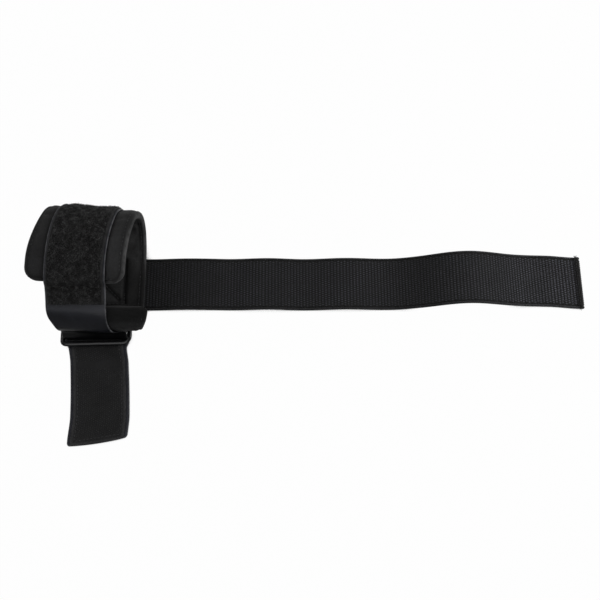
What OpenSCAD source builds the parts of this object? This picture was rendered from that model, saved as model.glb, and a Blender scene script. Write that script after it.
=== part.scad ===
// Padded lifting wrist strap: a curled pad with a hook-and-loop closure strap that runs
// through a ring, and a long webbing tail sewn under the pad.
// X runs along the tail, Y points away from the ring, Z is up and the strap lies on Z = 0.

/* [Cuff pad] */
// Width of the pad along the wrist
pad_w = 65; // [50:1:80]
// Thickness of the pad with both its fabrics
pad_t = 6; // [4:0.5:8]
// Thickness of the outer cover fabric
cover_t = 0.8; // [0.5:0.1:1.2]
// Thickness of the inner lining fabric
lining_t = 0.8; // [0.5:0.1:1.2]
// Length of the flat stretch that lies on the tail
flat_l = 34; // [28:1:40]
// Radius of the lower front bend
lower_front_r = 30; // [26:1:36]
// Radius of the front bend
front_r = 18; // [15:1:22]
// Radius of the front end above its foremost line
upper_front_r = 22; // [19:1:26]
// How far the front end curls in past upright, in degrees
front_curl = 54; // [40:1:60]
// Radius of the lower back bend
lower_back_r = 38; // [32:1:44]
// Radius of the back bend
back_r = 20; // [17:1:24]
// Radius of the shoulder between back and top
shoulder_r = 20; // [17:1:24]
// Radius of the top
top_r = 62; // [50:1:80]
// Radius of the flap near its free end
flap_r = 60; // [45:1:80]
// How far the flap dips past level, in degrees
flap_dip = 15.5; // [8:0.5:24]
// Radius of the pad's rounded corners
corner_r = 7; // [4:0.5:10]
// Sideways drift of the front end
front_drift = 10; // [-4:0.5:12]
// Sideways drift of the flap end
flap_drift = -5; // [-8:0.5:4]
// How far up the shoulder the flap starts to bend open, in degrees
flap_start = 40; // [30:1:50]

/* [Closure strap] */
// Width of the closure strap
strap_w = 41; // [34:0.5:46]
// Thickness of the leather-like strap
strap_t = 1.2; // [0.9:0.1:1.6]
// Width of the loop tape
loop_w = 38.5; // [30:0.5:40]
// Thickness of the loop tape with its pile
loop_t = 1.8; // [1.2:0.1:2.4]
// Length of loop tape on the back, below the flap's bend
loop_back_l = 24; // [15:1:32]
// Length of loop tape past the flap's end
loop_front_l = 17; // [10:1:19]
// Width of the hook tape
hook_w = 37; // [30:0.5:40]
// Thickness of the hook tape
hook_t = 1; // [0.7:0.1:1.4]
// Length of the strap from the ring to its fold
strap_end_l = 35; // [28:1:42]
// Length of the strap from the fold to its tip
strap_tip_l = 34; // [28:1:42]
// Sideways drift of the strap over the flap
strap_drift = -4.3; // [-7:0.1:0]
// Sideways drift of the strap's tip
tip_drift = 5.5; // [0:0.1:8]
// Radius of the strap's corners at its tip
tip_corner_r = 2; // [1:0.5:5]

/* [Ring] */
// Diameter of the ring's wire
wire_d = 3; // [2.4:0.1:3.6]
// Outer width of the ring
ring_w = 50; // [48:0.5:60]
// Outer depth of the ring
ring_d = 13; // [12:0.5:16]
// Outer radius of the ring's corners
ring_corner_r = 3.5; // [2.5:0.5:5]
// How far the ring's rear bar sits behind the pad's foremost line
ring_inset = 4; // [3:0.5:5]
// Sideways place of the ring
ring_x = 0.7; // [-3:0.1:3]
// Width of the tab that holds the ring
tab_w = 38; // [28:1:42]
// Thickness of the tab
tab_t = 1.2; // [0.9:0.1:1.5]

/* [Tail] */
// Width of the tail webbing
tail_w = 38; // [30:1:45]
// Thickness of the tail webbing
tail_t = 1.8; // [1.4:0.1:2.2]
// Length of tail sewn under the pad
tail_sewn_l = 60; // [45:1:62]
// Length of the first bending stretch
stretch_1 = 56; // [45:1:70]
// Length of the second bending stretch
stretch_2 = 58; // [45:1:70]
// Length of the third bending stretch
stretch_3 = 59; // [45:1:70]
// Length of the arched stretch
stretch_4 = 113; // [90:1:130]
// Length of the last stretch, to the tail's end
stretch_5 = 33; // [28:1:45]
// Height of the low waves in the first three stretches
wave_h = 3; // [0.5:0.5:6]
// Height of the arch in the fourth stretch
arch_h = 14; // [6:0.5:20]
// Length of the folded hem
hem_l = 6; // [4:0.5:10]
// Thickness of the printed rubber grip
grip_t = 0.25; // [0.15:0.05:0.4]
// Bare webbing left along each side of the grip
grip_margin = 3; // [2:0.5:6]

/* [Fits] */
// Gap between layers that are sewn or glued together
seam_gap = 0.05; // [0.02:0.01:0.1]
// Gap between pieces that move past each other
move_gap = 0.3; // [0.2:0.05:0.4]
// Gap between the closure strap and the ring's bar
bar_gap = 0.2; // [0.15:0.05:0.4]

/* [Hidden] */

$fn = 48;
bend_step = 6;
straight_step = 9;
corner_steps = 4;
small_step = 0.4;

// Colours
jersey = [0.13, 0.13, 0.14];
foam = [0.08, 0.08, 0.09];
leather = [0.2, 0.21, 0.23];
pile = [0.15, 0.15, 0.15];
hooks = [0.11, 0.11, 0.12];
webbing = [0.1, 0.1, 0.11];
metal = [0.05, 0.05, 0.06];
rubber_print = [0.03, 0.03, 0.035];

// ---- Lines in section ----
// A station is [y, z, heading]. A move is [radius, degrees], or [0, length] for a straight,
// and turns to the left are positive.
function moved(p, m, share) = m[0] == 0
    ? [p[0] + m[1] * share * cos(p[2]), p[1] + m[1] * share * sin(p[2]), p[2]]
    : let (
        side = m[1] > 0 ? 1 : -1,
        heading = p[2] + m[1] * share,
        y = p[0] - side * m[0] * sin(p[2]),
        z = p[1] + side * m[0] * cos(p[2])
    ) [y + side * m[0] * sin(heading), z - side * m[0] * cos(heading), heading];
function steps_in(m) = max(1, ceil(abs(m[1]) / (m[0] == 0 ? straight_step : bend_step)));
function walked(p, moves, i = 0) = i >= len(moves)
    ? [p]
    : let (n = steps_in(moves[i])) concat(
        [for (k = [0:n - 1]) moved(p, moves[i], k / n)],
        walked(moved(p, moves[i], 1), moves, i + 1)
    );
function last(list) = list[len(list) - 1];
function without_last(list) = [for (i = [0:len(list) - 2]) list[i]];
function reversed(list) = [for (i = [len(list) - 1:-1:0]) list[i]];
function with_turn(line, turn) = [for (p = line) [p[0], p[1], p[2] + turn]];
// A station or a line pushed outwards, to the right of its heading
function nudged(p, d) = [p[0] + d * sin(p[2]), p[1] - d * cos(p[2]), p[2]];
function pushed(line, d) = [for (p = line) nudged(p, d)];
// A smooth link between two stations, with the length of its handle at each end
function linked(a, b, reach_a, reach_b, n) = let (
    c = [a[0] + reach_a * cos(a[2]), a[1] + reach_a * sin(a[2])],
    e = [b[0] - reach_b * cos(b[2]), b[1] - reach_b * sin(b[2])],
    p = [[a[0], a[1]], c, e, [b[0], b[1]]]
) [for (k = [0:n]) let (
    t = k / n,
    u = 1 - t,
    v = u * u * (p[1] - p[0]) + 2 * u * t * (p[2] - p[1]) + t * t * (p[3] - p[2]),
    q = u * u * u * p[0] + 3 * u * u * t * p[1] + 3 * u * t * t * p[2] + t * t * t * p[3],
    h = atan2(v[1], v[0])
) [q[0], q[1], h < 0 ? h + 360 : h]];
// A measured line has the distance along it as a fourth value
function gap_before(line, i) = norm([line[i][0] - line[i - 1][0], line[i][1] - line[i - 1][1]]);
function distances(line) = [for (
    i = 0, d = 0;
    i < len(line);
    i = i + 1,
    d = d + (i < len(line) ? gap_before(line, i) : 0)
) d];
function measured(line) = let (d = distances(line)) [for (i = [0:len(line) - 1]) [
    line[i][0], line[i][1], line[i][2], d[i]
]];
function column(line, c) = [for (p = line) [p[3], p[c]]];
function station(line, s) = [
    lookup(s, column(line, 0)), lookup(s, column(line, 1)), lookup(s, column(line, 2)), s
];
function length_of(line) = last(line)[3];
function inside(line, a, b) = [for (p = line) if (p[3] > a + small_step && p[3] < b - small_step) p];
function corner_place(k, r) = r * (1 - cos(90 * k / corner_steps));
// The stretch of a measured line from a to b, with more stations where an end has round corners
function between(line, a, b, r_a = 0, r_b = 0) = concat(
    r_a == 0 ? [station(line, a)] : [for (k = [0:corner_steps]) station(line, a + corner_place(k, r_a))],
    inside(line, a + r_a, b - r_b),
    r_b == 0 ? [station(line, b)] : [for (k = [corner_steps:-1:0]) station(line, b - corner_place(k, r_b))]
);
// What a round corner takes off the half width at distance d from the end
function corner_cut(d, r) = d >= r ? 0 : r - sqrt(max(0, r * r - (r - d) * (r - d)));
function eased(t) = t * t * (3 - 2 * t);

// ---- Solids from lines ----
// A closed sweep: ring(s) gives the outline at distance s as [x, height over the line] points
module sweep(line, ring) {
    rings = [for (p = line) ring(p[3])];
    n = len(rings[0]);
    points = [for (i = [0:len(line) - 1]) for (q = rings[i]) let (
        p = nudged(line[i], q[1])
    ) [q[0], p[0], p[1]]];
    end = (len(line) - 1) * n;
    sides = [for (i = [0:len(line) - 2]) for (j = [0:n - 1]) let (
        a = i * n + j,
        b = i * n + (j + 1) % n
    ) for (face = [[a, b, b + n], [a, b + n, a + n]]) face];
    caps = [for (j = [1:n - 2]) for (face = [[0, j + 1, j], [end, end + j, end + j + 1]]) face];
    polyhedron(points, concat(sides, caps));
}
// A flat band of the given half width, between two heights over its line
module band(line, lo, hi, half, middle) {
    sweep(line, function(s) let (w = half(s), x = middle(s)) [
        [x - w, lo], [x + w, lo], [x + w, hi], [x - w, hi]
    ]);
}
// An outline in the Y-Z plane drawn out along X
module along_x(length, middle) {
    translate([middle, 0, 0]) rotate([90, 0, 90]) linear_extrude(height = length, center = true) children();
}
// An outline in the X-Z plane drawn out along Y
module along_y(length, middle) {
    translate([0, middle, 0]) rotate([90, 0, 0]) linear_extrude(height = length, center = true) children();
}
function flat_points(line) = [for (p = line) [p[0], p[1]]];
function ribbon(line, lo, hi) = concat(
    flat_points(pushed(line, lo)),
    reversed(flat_points(pushed(line, hi)))
);

// ---- Places ----
tail_y = -4;
sewn_edge = 1;
flat_inset = 4;
pad_z = tail_t + seam_gap;
flat_y = tail_y - tail_w / 2 + flat_inset;
lower_turn = 28;
shoulder_turn = 58;
top_turn = 90 - shoulder_turn;

// The pad's outer skin in section, from its front end under the wrist and over the top
front_line = with_turn(reversed(walked([flat_y, pad_z, 180], [
    [lower_front_r, -lower_turn],
    [front_r, lower_turn - 90],
    [upper_front_r, -front_curl]
])), -180);
back_line = walked([flat_y, pad_z, 0], [
    [0, flat_l],
    [lower_back_r, lower_turn],
    [back_r, 90 - lower_turn],
    [shoulder_r, flap_start]
]);
flap_line = walked(last(back_line), [
    [shoulder_r, shoulder_turn - flap_start],
    [top_r, top_turn],
    [flap_r, flap_dip]
]);
cuff_line = measured(concat(without_last(front_line), back_line));
pad_line = measured(concat(without_last(front_line), without_last(back_line), flap_line));
front_l = length_of(measured(front_line));
fore_s = upper_front_r * front_curl * PI / 180;
bend_s = length_of(cuff_line);
back_s = bend_s - shoulder_r * flap_start * PI / 180;
pad_l = length_of(pad_line);
fore_y = min([for (p = front_line) p[0]]);

// Layers of the pad, as heights over its outer skin
foam_top = -cover_t - seam_gap;
foam_base = -pad_t + lining_t + seam_gap;
rim_swell = 0.8;
edge_chamfer = 0.4;
inner_chamfer = 0.01;
drift_power = 1.3;

// Sideways places of the pad and the strap at distance s along the pad
function pad_middle(s) = s < front_l
    ? front_drift * pow(1 - s / front_l, drift_power)
    : s > back_s ? flap_drift * sin(90 * (s - back_s) / (pad_l - back_s)) : 0;
function pad_half(s) = pad_w / 2 - corner_cut(min(s, pad_l - s), corner_r);
function top_middle(s) = s > back_s
    ? ring_x + (strap_drift - ring_x) * sin(90 * (s - back_s) / (pad_l - back_s))
    : ring_x;
function strap_half(s) = strap_w / 2;
function loop_half(s) = loop_w / 2;
function hook_half(s) = hook_w / 2;

// Heights over the line that the closure strap is sewn to
strap_lo = seam_gap;
strap_hi = strap_lo + strap_t;
loop_lo = strap_hi + seam_gap;
loop_hi = loop_lo + loop_t;
strap_s = front_l + tail_y + tail_w / 2 + sewn_edge - flat_y;
loop_s = bend_s - loop_back_l;

// The ring, its two bars and how the strap wraps the front one
wire_r = wire_d / 2;
wrap_r = wire_r + bar_gap + hook_t + seam_gap + strap_t;
ring_z = wrap_r;
rear_bar_y = fore_y + ring_inset;
front_bar_y = rear_bar_y - (ring_d - wire_d);
hook_lo = strap_t + seam_gap;
hook_hi = hook_lo + hook_t;

// The free stretch of the closure strap, from the flap's end down to the ring
edge_bend_r = 2;
edge_bend = 50;
hang_gap = 0.25;
edge_reach = 5;
lip_reach = 4;
hang_reach = 6;
flap_tip = station(pad_line, pad_l);
over_edge = walked(nudged(flap_tip, seam_gap), [[edge_bend_r, edge_bend]]);
down_front = with_turn(pushed(between(pad_line, 0, fore_s), hang_gap), 360);
window_top = [front_bar_y + wrap_r, ring_z, 270];
bridge = concat(
    without_last(over_edge),
    without_last(linked(last(over_edge), down_front[0], edge_reach, lip_reach, 8)),
    without_last(down_front),
    linked(last(down_front), window_top, hang_reach, hang_reach, 6)
);
hang_line = measured(bridge);
hang_l = length_of(hang_line);
strap_lean = 0.3;
ring_strap_x = ring_x + strap_lean;
// Over this last stretch the strap drifts back to the middle of the ring
window_l = 18;
function hang_middle(s) = strap_drift
    + (ring_strap_x - strap_drift) * eased(max(0, s - hang_l + window_l) / window_l);

// The strap's end, which wraps the ring's front bar and lies flat
end_line = measured(walked(window_top, [[wrap_r, -90], [0, strap_end_l]]));
wrap_l = wrap_r * PI / 2;
end_l = length_of(end_line);
fold_y = front_bar_y - strap_end_l;
tip_line = measured(walked([fold_y, 0, 180], [[0, strap_tip_l]]));
end_drift = (tip_drift - ring_strap_x) / (strap_end_l + strap_tip_l);
function end_middle(s) = ring_strap_x + end_drift * max(0, s - wrap_l);
function tip_middle(s) = ring_strap_x + end_drift * (strap_end_l + s);
function tip_half(s) = strap_w / 2 - corner_cut(strap_tip_l - s, tip_corner_r);
function tip_hook_half(s) = hook_w / 2 - corner_cut(strap_tip_l - s, tip_corner_r);

// The tab's line is its outer face: along the pad's skin, round the ring's rear bar and back
tab_r = wire_r + bar_gap + tab_t;
tab_lift = 0.1;
tab_rise = 2 * (tab_t + seam_gap) + tab_lift - pad_z;
tab_turn = acos(1 - tab_rise / lower_front_r);
tab_out_reach = 5;
tab_bar_reach = 2;
tab_back_reach = 4;
tab_start = last(walked([flat_y, pad_z, 180], [[lower_front_r, -tab_turn]]));
tab_end = [tab_start[0], tab_lift, 360 - tab_turn];
tab_top = [rear_bar_y, ring_z + tab_r, 180];
tab_under = [rear_bar_y, ring_z - tab_r, 360];
tab_line = concat(
    without_last(linked(nudged(tab_start, -seam_gap), tab_top, tab_out_reach, tab_bar_reach, 6)),
    without_last(walked(tab_top, [[tab_r, 180]])),
    linked(tab_under, tab_end, tab_back_reach, tab_back_reach, 5)
);

// The tail's bending lines, from the pad's edge to its end
root_clear = 4.5;
root_x = pad_w / 2 + root_clear;
stretch = [stretch_1, stretch_2, stretch_3, stretch_4, stretch_5];
function total(list, n, i = 0) = i >= n ? 0 : list[i] + total(list, n, i + 1);
bend_x = [for (i = [0:5]) root_x + total(stretch, i)];
rise = [wave_h / 2, wave_h, wave_h * 0.8, arch_h, 0];
nose_r = tail_t / 2;
socket_r = nose_r + move_gap - seam_gap;
wave_steps = 16;
// One arch of the tail between two bending lines, as stations in the X-Z plane
function arch(i, a, b) = [for (k = [0:wave_steps]) let (
    x = a + (b - a) * k / wave_steps,
    turn = 360 * (x - bend_x[i]) / stretch[i]
) [x, rise[i] / 2 * (1 - cos(turn)), atan(rise[i] * PI / stretch[i] * sin(turn))]];
grip_clear = 3;
cut_past = 1;

// ---- Pad ----
// A pad layer between two heights, with its outer or inner corners taken off
module skin_layer(a, b, r_a, r_b, lo, hi, lo_cut, hi_cut) {
    sweep(between(pad_line, a, b, r_a, r_b), function(s) let (
        w = pad_half(s) - rim_swell,
        x = pad_middle(s)
    ) [
        [x - w + lo_cut, lo], [x + w - lo_cut, lo], [x + w, lo + lo_cut],
        [x + w, hi - hi_cut], [x + w - hi_cut, hi], [x - w + hi_cut, hi],
        [x - w, hi - hi_cut], [x - w, lo + lo_cut]
    ]);
}
module cover_layer(a, b, r_a, r_b) {
    color(jersey) skin_layer(a, b, r_a, r_b, -cover_t, 0, inner_chamfer, edge_chamfer);
}
module lining_layer(a, b, r_a, r_b) {
    color(jersey) skin_layer(a, b, r_a, r_b, -pad_t, lining_t - pad_t, edge_chamfer, inner_chamfer);
}
// The foam swells out a little between the two fabrics
module foam_layer(a, b, r_a, r_b) {
    color(foam) sweep(between(pad_line, a, b, r_a, r_b), function(s) let (
        w = pad_half(s),
        x = pad_middle(s),
        mid = (foam_base + foam_top) / 2
    ) [
        [x - w + rim_swell, foam_base], [x + w - rim_swell, foam_base], [x + w, mid],
        [x + w - rim_swell, foam_top], [x - w + rim_swell, foam_top], [x - w, mid]
    ]);
}
module cuff_cover() {
    cover_layer(0, bend_s - move_gap / 2, corner_r, 0);
}
module cuff_foam() {
    foam_layer(0, bend_s - move_gap / 2, corner_r, 0);
}
module cuff_lining() {
    lining_layer(0, bend_s - move_gap / 2, corner_r, 0);
}
module flap_cover() {
    cover_layer(bend_s + move_gap / 2, pad_l, 0, corner_r);
}
module flap_foam() {
    foam_layer(bend_s + move_gap / 2, pad_l, 0, corner_r);
}
module flap_lining() {
    lining_layer(bend_s + move_gap / 2, pad_l, 0, corner_r);
}

// ---- Closure strap ----
module back_strap() {
    line = between(pad_line, strap_s, bend_s - move_gap / 2);
    color(leather) band(line, strap_lo, strap_hi, function(s) strap_half(s), function(s) top_middle(s));
}
module back_loop() {
    line = between(pad_line, loop_s, bend_s - move_gap / 2);
    color(pile) band(line, loop_lo, loop_hi, function(s) loop_half(s), function(s) top_middle(s));
}
module top_strap() {
    line = between(pad_line, bend_s + move_gap / 2, pad_l);
    color(leather) band(line, strap_lo, strap_hi, function(s) strap_half(s), function(s) top_middle(s));
}
module top_loop() {
    line = between(pad_line, bend_s + move_gap / 2, pad_l);
    color(pile) band(line, loop_lo, loop_hi, function(s) loop_half(s), function(s) top_middle(s));
}
module front_strap() {
    line = between(hang_line, move_gap, hang_l - move_gap);
    color(leather) band(line, 0, strap_t, function(s) strap_half(s), function(s) hang_middle(s));
}
module front_loop() {
    line = between(hang_line, move_gap, loop_front_l);
    lo = strap_t + seam_gap;
    color(pile) band(line, lo, lo + loop_t, function(s) loop_half(s), function(s) hang_middle(s));
}
module strap_end() {
    line = between(end_line, 0, end_l - move_gap / 2);
    color(leather) band(line, 0, strap_t, function(s) strap_half(s), function(s) end_middle(s));
}
module strap_end_hook() {
    line = between(end_line, 0, end_l - move_gap / 2);
    color(hooks) band(line, hook_lo, hook_hi, function(s) hook_half(s), function(s) end_middle(s));
}
module strap_tip() {
    line = between(tip_line, move_gap / 2, strap_tip_l, 0, tip_corner_r);
    color(leather) band(line, 0, strap_t, function(s) tip_half(s), function(s) tip_middle(s));
}
module strap_tip_hook() {
    line = between(tip_line, move_gap / 2, strap_tip_l, 0, tip_corner_r);
    color(hooks) band(line, hook_lo, hook_hi, function(s) tip_hook_half(s), function(s) tip_middle(s));
}

// ---- Ring and its tab ----
module ring_tab() {
    color(jersey) along_x(tab_w, ring_x) polygon(ribbon(tab_line, -tab_t, 0));
}
module ring_corner(x, y, turn) {
    translate([x, y, 0]) rotate([0, 0, turn]) rotate_extrude(angle = 90)
        translate([ring_corner_r - wire_r, 0]) circle(r = wire_r);
}
module ring() {
    long = ring_w - 2 * ring_corner_r;
    short = ring_d - 2 * ring_corner_r;
    middle_y = (rear_bar_y + front_bar_y) / 2;
    color(metal) translate([ring_x, middle_y, ring_z]) union() {
        for (y = [-1, 1]) translate([0, y * (ring_d - wire_d) / 2, 0]) rotate([0, 90, 0])
            cylinder(r = wire_r, h = long, center = true);
        for (x = [-1, 1]) translate([x * (ring_w - wire_d) / 2, 0, 0]) rotate([90, 0, 0])
            cylinder(r = wire_r, h = short, center = true);
        ring_corner(long / 2, short / 2, 0);
        ring_corner(-long / 2, short / 2, 90);
        ring_corner(-long / 2, -short / 2, 180);
        ring_corner(long / 2, -short / 2, 270);
    }
}

// ---- Tail ----
module webbing_slab(outline) {
    along_y(tail_w, tail_y) polygon(outline);
}
// The round nose and the socket that let two stretches bend about one line
module nose(x) {
    along_y(tail_w, tail_y) translate([x, nose_r]) circle(r = nose_r);
}
module socket(x) {
    along_y(tail_w + 2 * cut_past, tail_y) translate([x, nose_r]) circle(r = socket_r);
}
// Room for the printed grip in the webbing's underside
module grip_layer(i, lo, hi, room) {
    line = arch(i, bend_x[i] + grip_clear - room, bend_x[i + 1] - grip_clear - hem_room(i) + room);
    along_y(tail_w - 2 * grip_margin + 2 * room, tail_y) polygon(ribbon(line, -hi, -lo));
}
function hem_room(i) = i == 4 ? hem_l : 0;
module tail_stretch(i, end_x) {
    color(webbing) difference() {
        union() {
            webbing_slab(ribbon(arch(i, bend_x[i], end_x), -tail_t, 0));
            nose(bend_x[i]);
        }
        if (i < 4) socket(bend_x[i + 1]);
        grip_layer(i, -cut_past, grip_t + seam_gap, seam_gap);
    }
}
module grip(i) {
    color(rubber_print) grip_layer(i, 0, grip_t, 0);
}
module tail_root() {
    color(webbing) difference() {
        translate([root_x - tail_sewn_l, tail_y - tail_w / 2, 0]) cube([tail_sewn_l, tail_w, tail_t]);
        socket(root_x);
    }
}
module tail_1() {
    tail_stretch(0, bend_x[1]);
}
module tail_2() {
    tail_stretch(1, bend_x[2]);
}
module tail_3() {
    tail_stretch(2, bend_x[3]);
}
module tail_4() {
    tail_stretch(3, bend_x[4]);
}
fold_r = tail_t + seam_gap / 2;
fold_x = bend_x[5] - fold_r;
module tail_5() {
    tail_stretch(4, fold_x - seam_gap);
}
// The webbing's end, folded up and back over itself and sewn down
module tail_hem() {
    color(webbing) along_y(tail_w, tail_y) union() {
        translate([fold_x - hem_l, tail_t + seam_gap]) square([hem_l, tail_t]);
        intersection() {
            translate([fold_x, fold_r]) circle(r = fold_r);
            translate([fold_x, 0]) square([fold_r, 2 * fold_r]);
        }
    }
}
module grip_1() {
    grip(0);
}
module grip_2() {
    grip(1);
}
module grip_3() {
    grip(2);
}
module grip_4() {
    grip(3);
}
module grip_5() {
    grip(4);
}

cuff_cover();
cuff_foam();
cuff_lining();
flap_cover();
flap_foam();
flap_lining();
back_strap();
back_loop();
top_strap();
top_loop();
front_strap();
front_loop();
ring_tab();
ring();
strap_end();
strap_end_hook();
strap_tip();
strap_tip_hook();
tail_root();
tail_1();
tail_2();
tail_3();
tail_4();
tail_5();
tail_hem();
grip_1();
grip_2();
grip_3();
grip_4();
grip_5();
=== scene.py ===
"""Looks of a padded lifting wrist strap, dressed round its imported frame.

Lengths in this file are millimetres until a mesh is made, where MM turns them into metres.
A band lies on a track: s runs along the track, x runs across it and h stands out from it.
"""

import logging
import math
from dataclasses import dataclass, field
from enum import Enum
from typing import Callable, Sequence

import bpy
import numpy as np
from mathutils import Matrix, Vector

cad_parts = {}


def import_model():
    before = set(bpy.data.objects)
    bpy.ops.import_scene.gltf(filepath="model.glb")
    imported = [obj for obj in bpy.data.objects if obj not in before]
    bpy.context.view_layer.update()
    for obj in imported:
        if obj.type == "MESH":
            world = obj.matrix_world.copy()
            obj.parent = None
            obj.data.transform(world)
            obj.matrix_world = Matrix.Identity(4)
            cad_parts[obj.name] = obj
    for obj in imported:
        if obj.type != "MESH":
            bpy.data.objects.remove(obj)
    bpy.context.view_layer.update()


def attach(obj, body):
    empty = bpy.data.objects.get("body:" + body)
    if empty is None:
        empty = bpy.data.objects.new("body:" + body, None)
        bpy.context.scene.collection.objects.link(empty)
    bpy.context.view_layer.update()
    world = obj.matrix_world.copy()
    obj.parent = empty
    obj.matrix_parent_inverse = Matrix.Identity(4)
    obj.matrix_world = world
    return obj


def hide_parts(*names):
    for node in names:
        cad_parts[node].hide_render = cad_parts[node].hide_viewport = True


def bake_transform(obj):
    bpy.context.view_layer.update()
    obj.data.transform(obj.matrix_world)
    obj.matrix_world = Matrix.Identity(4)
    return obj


LOG = logging.getLogger("wrist_strap")
MM = 0.001  # metres in a millimetre
FINE = 0.5  # longest step along a line
SHARP = 60.0  # degrees between faces from which their edge stays sharp
ROUNDING = (0.0, 0.06, 0.25, 0.55)  # where a rounded edge has points, as shares of its radius
SHADED_RIM_SHIFT = 2.5  # added to the distance from the rim where painted shade keeps none of the colour, so that pale rims stay dark in that shade
DUST = (0.06, 0.06, 0.06)  # colour of lint
Array = np.ndarray
Piece = bpy.types.Object
Socket = bpy.types.NodeSocket
Tree = bpy.types.NodeTree
Material = bpy.types.Material
Relief = Callable[[Array, Array, Array], Array]
Across = Callable[[Array], Array]
Fade = Callable[[Array, Array], Array]
Pair = tuple[float, float]
Station = tuple[float, float, float]
Colour = tuple[float, float, float]


class Plane(Enum):
    """The upright plane that a track lies in."""

    SECTION = "across the wrist"
    TAIL = "along the tail"


class Slot(Enum):
    """Names of material slots."""

    JERSEY = "jersey"
    LEATHER = "leather"
    PILE = "pile"
    HOOKS = "hooks"
    TAPE = "tape"
    METAL = "metal"
    WEBBING = "webbing"
    PRINT = "print"


# ---- Sizes that the frame and these pieces share ----


@dataclass(frozen=True)
class PadSizes:
    """Sizes of the curled pad, as its frame has them."""

    width: float = 65.0
    thick: float = 6.0
    corner: float = 7.0
    flat: float = 34.0
    lower_front: float = 30.0
    front: float = 18.0
    upper_front: float = 22.0
    curl: float = 54.0
    lower_back: float = 38.0
    back: float = 20.0
    top: float = 62.0
    flap: float = 60.0
    dip: float = 15.5
    low_turn: float = 28.0
    shoulder_turn: float = 58.0
    flap_start: float = 40.0
    front_drift: float = 10.0
    flap_drift: float = -5.0
    drift_power: float = 1.3
    flat_inset: float = 4.0


@dataclass(frozen=True)
class StrapSizes:
    """Sizes of the closure strap, its tapes, the ring and the tab."""

    width: float = 41.0
    thick: float = 1.2
    loop_width: float = 38.5
    loop_back: float = 24.0
    loop_front: float = 17.0
    hook_width: float = 37.0
    hook_thick: float = 1.0
    end: float = 35.0
    tip: float = 34.0
    over_drift: float = -4.3
    tip_drift: float = 5.5
    seam: float = 0.05
    bar_gap: float = 0.2
    wire: float = 3.0
    ring_width: float = 50.0
    ring_depth: float = 13.0
    ring_corner: float = 3.5
    ring_inset: float = 4.0
    ring_x: float = 0.7
    lean: float = 0.3
    tab_width: float = 38.0
    tab_thick: float = 1.2
    tab_lift: float = 0.1

    @property
    def wrap(self) -> float:
        """Radius of the strap's plain face round the ring's front bar."""
        return self.wire / 2 + self.bar_gap + self.hook_thick + self.seam + self.thick


@dataclass(frozen=True)
class TailSizes:
    """Sizes of the webbing tail."""

    width: float = 38.0
    thick: float = 1.8
    middle: float = -4.0
    sewn: float = 60.0
    root_clear: float = 4.5
    stretches: tuple[float, ...] = (56.0, 58.0, 59.0, 113.0, 33.0)
    rises: tuple[float, ...] = (1.5, 3.0, 2.4, 14.0, 0.0)
    hem: float = 6.0
    margin: float = 3.0


# ---- Lines, tracks and meshes ----


def lengths_along(points: Array) -> Array:
    """Distance from the first of some points in a plane to each of them, along their line."""
    return np.concatenate([[0.0], np.cumsum(np.hypot(*np.diff(points, axis=0).T))])


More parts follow.
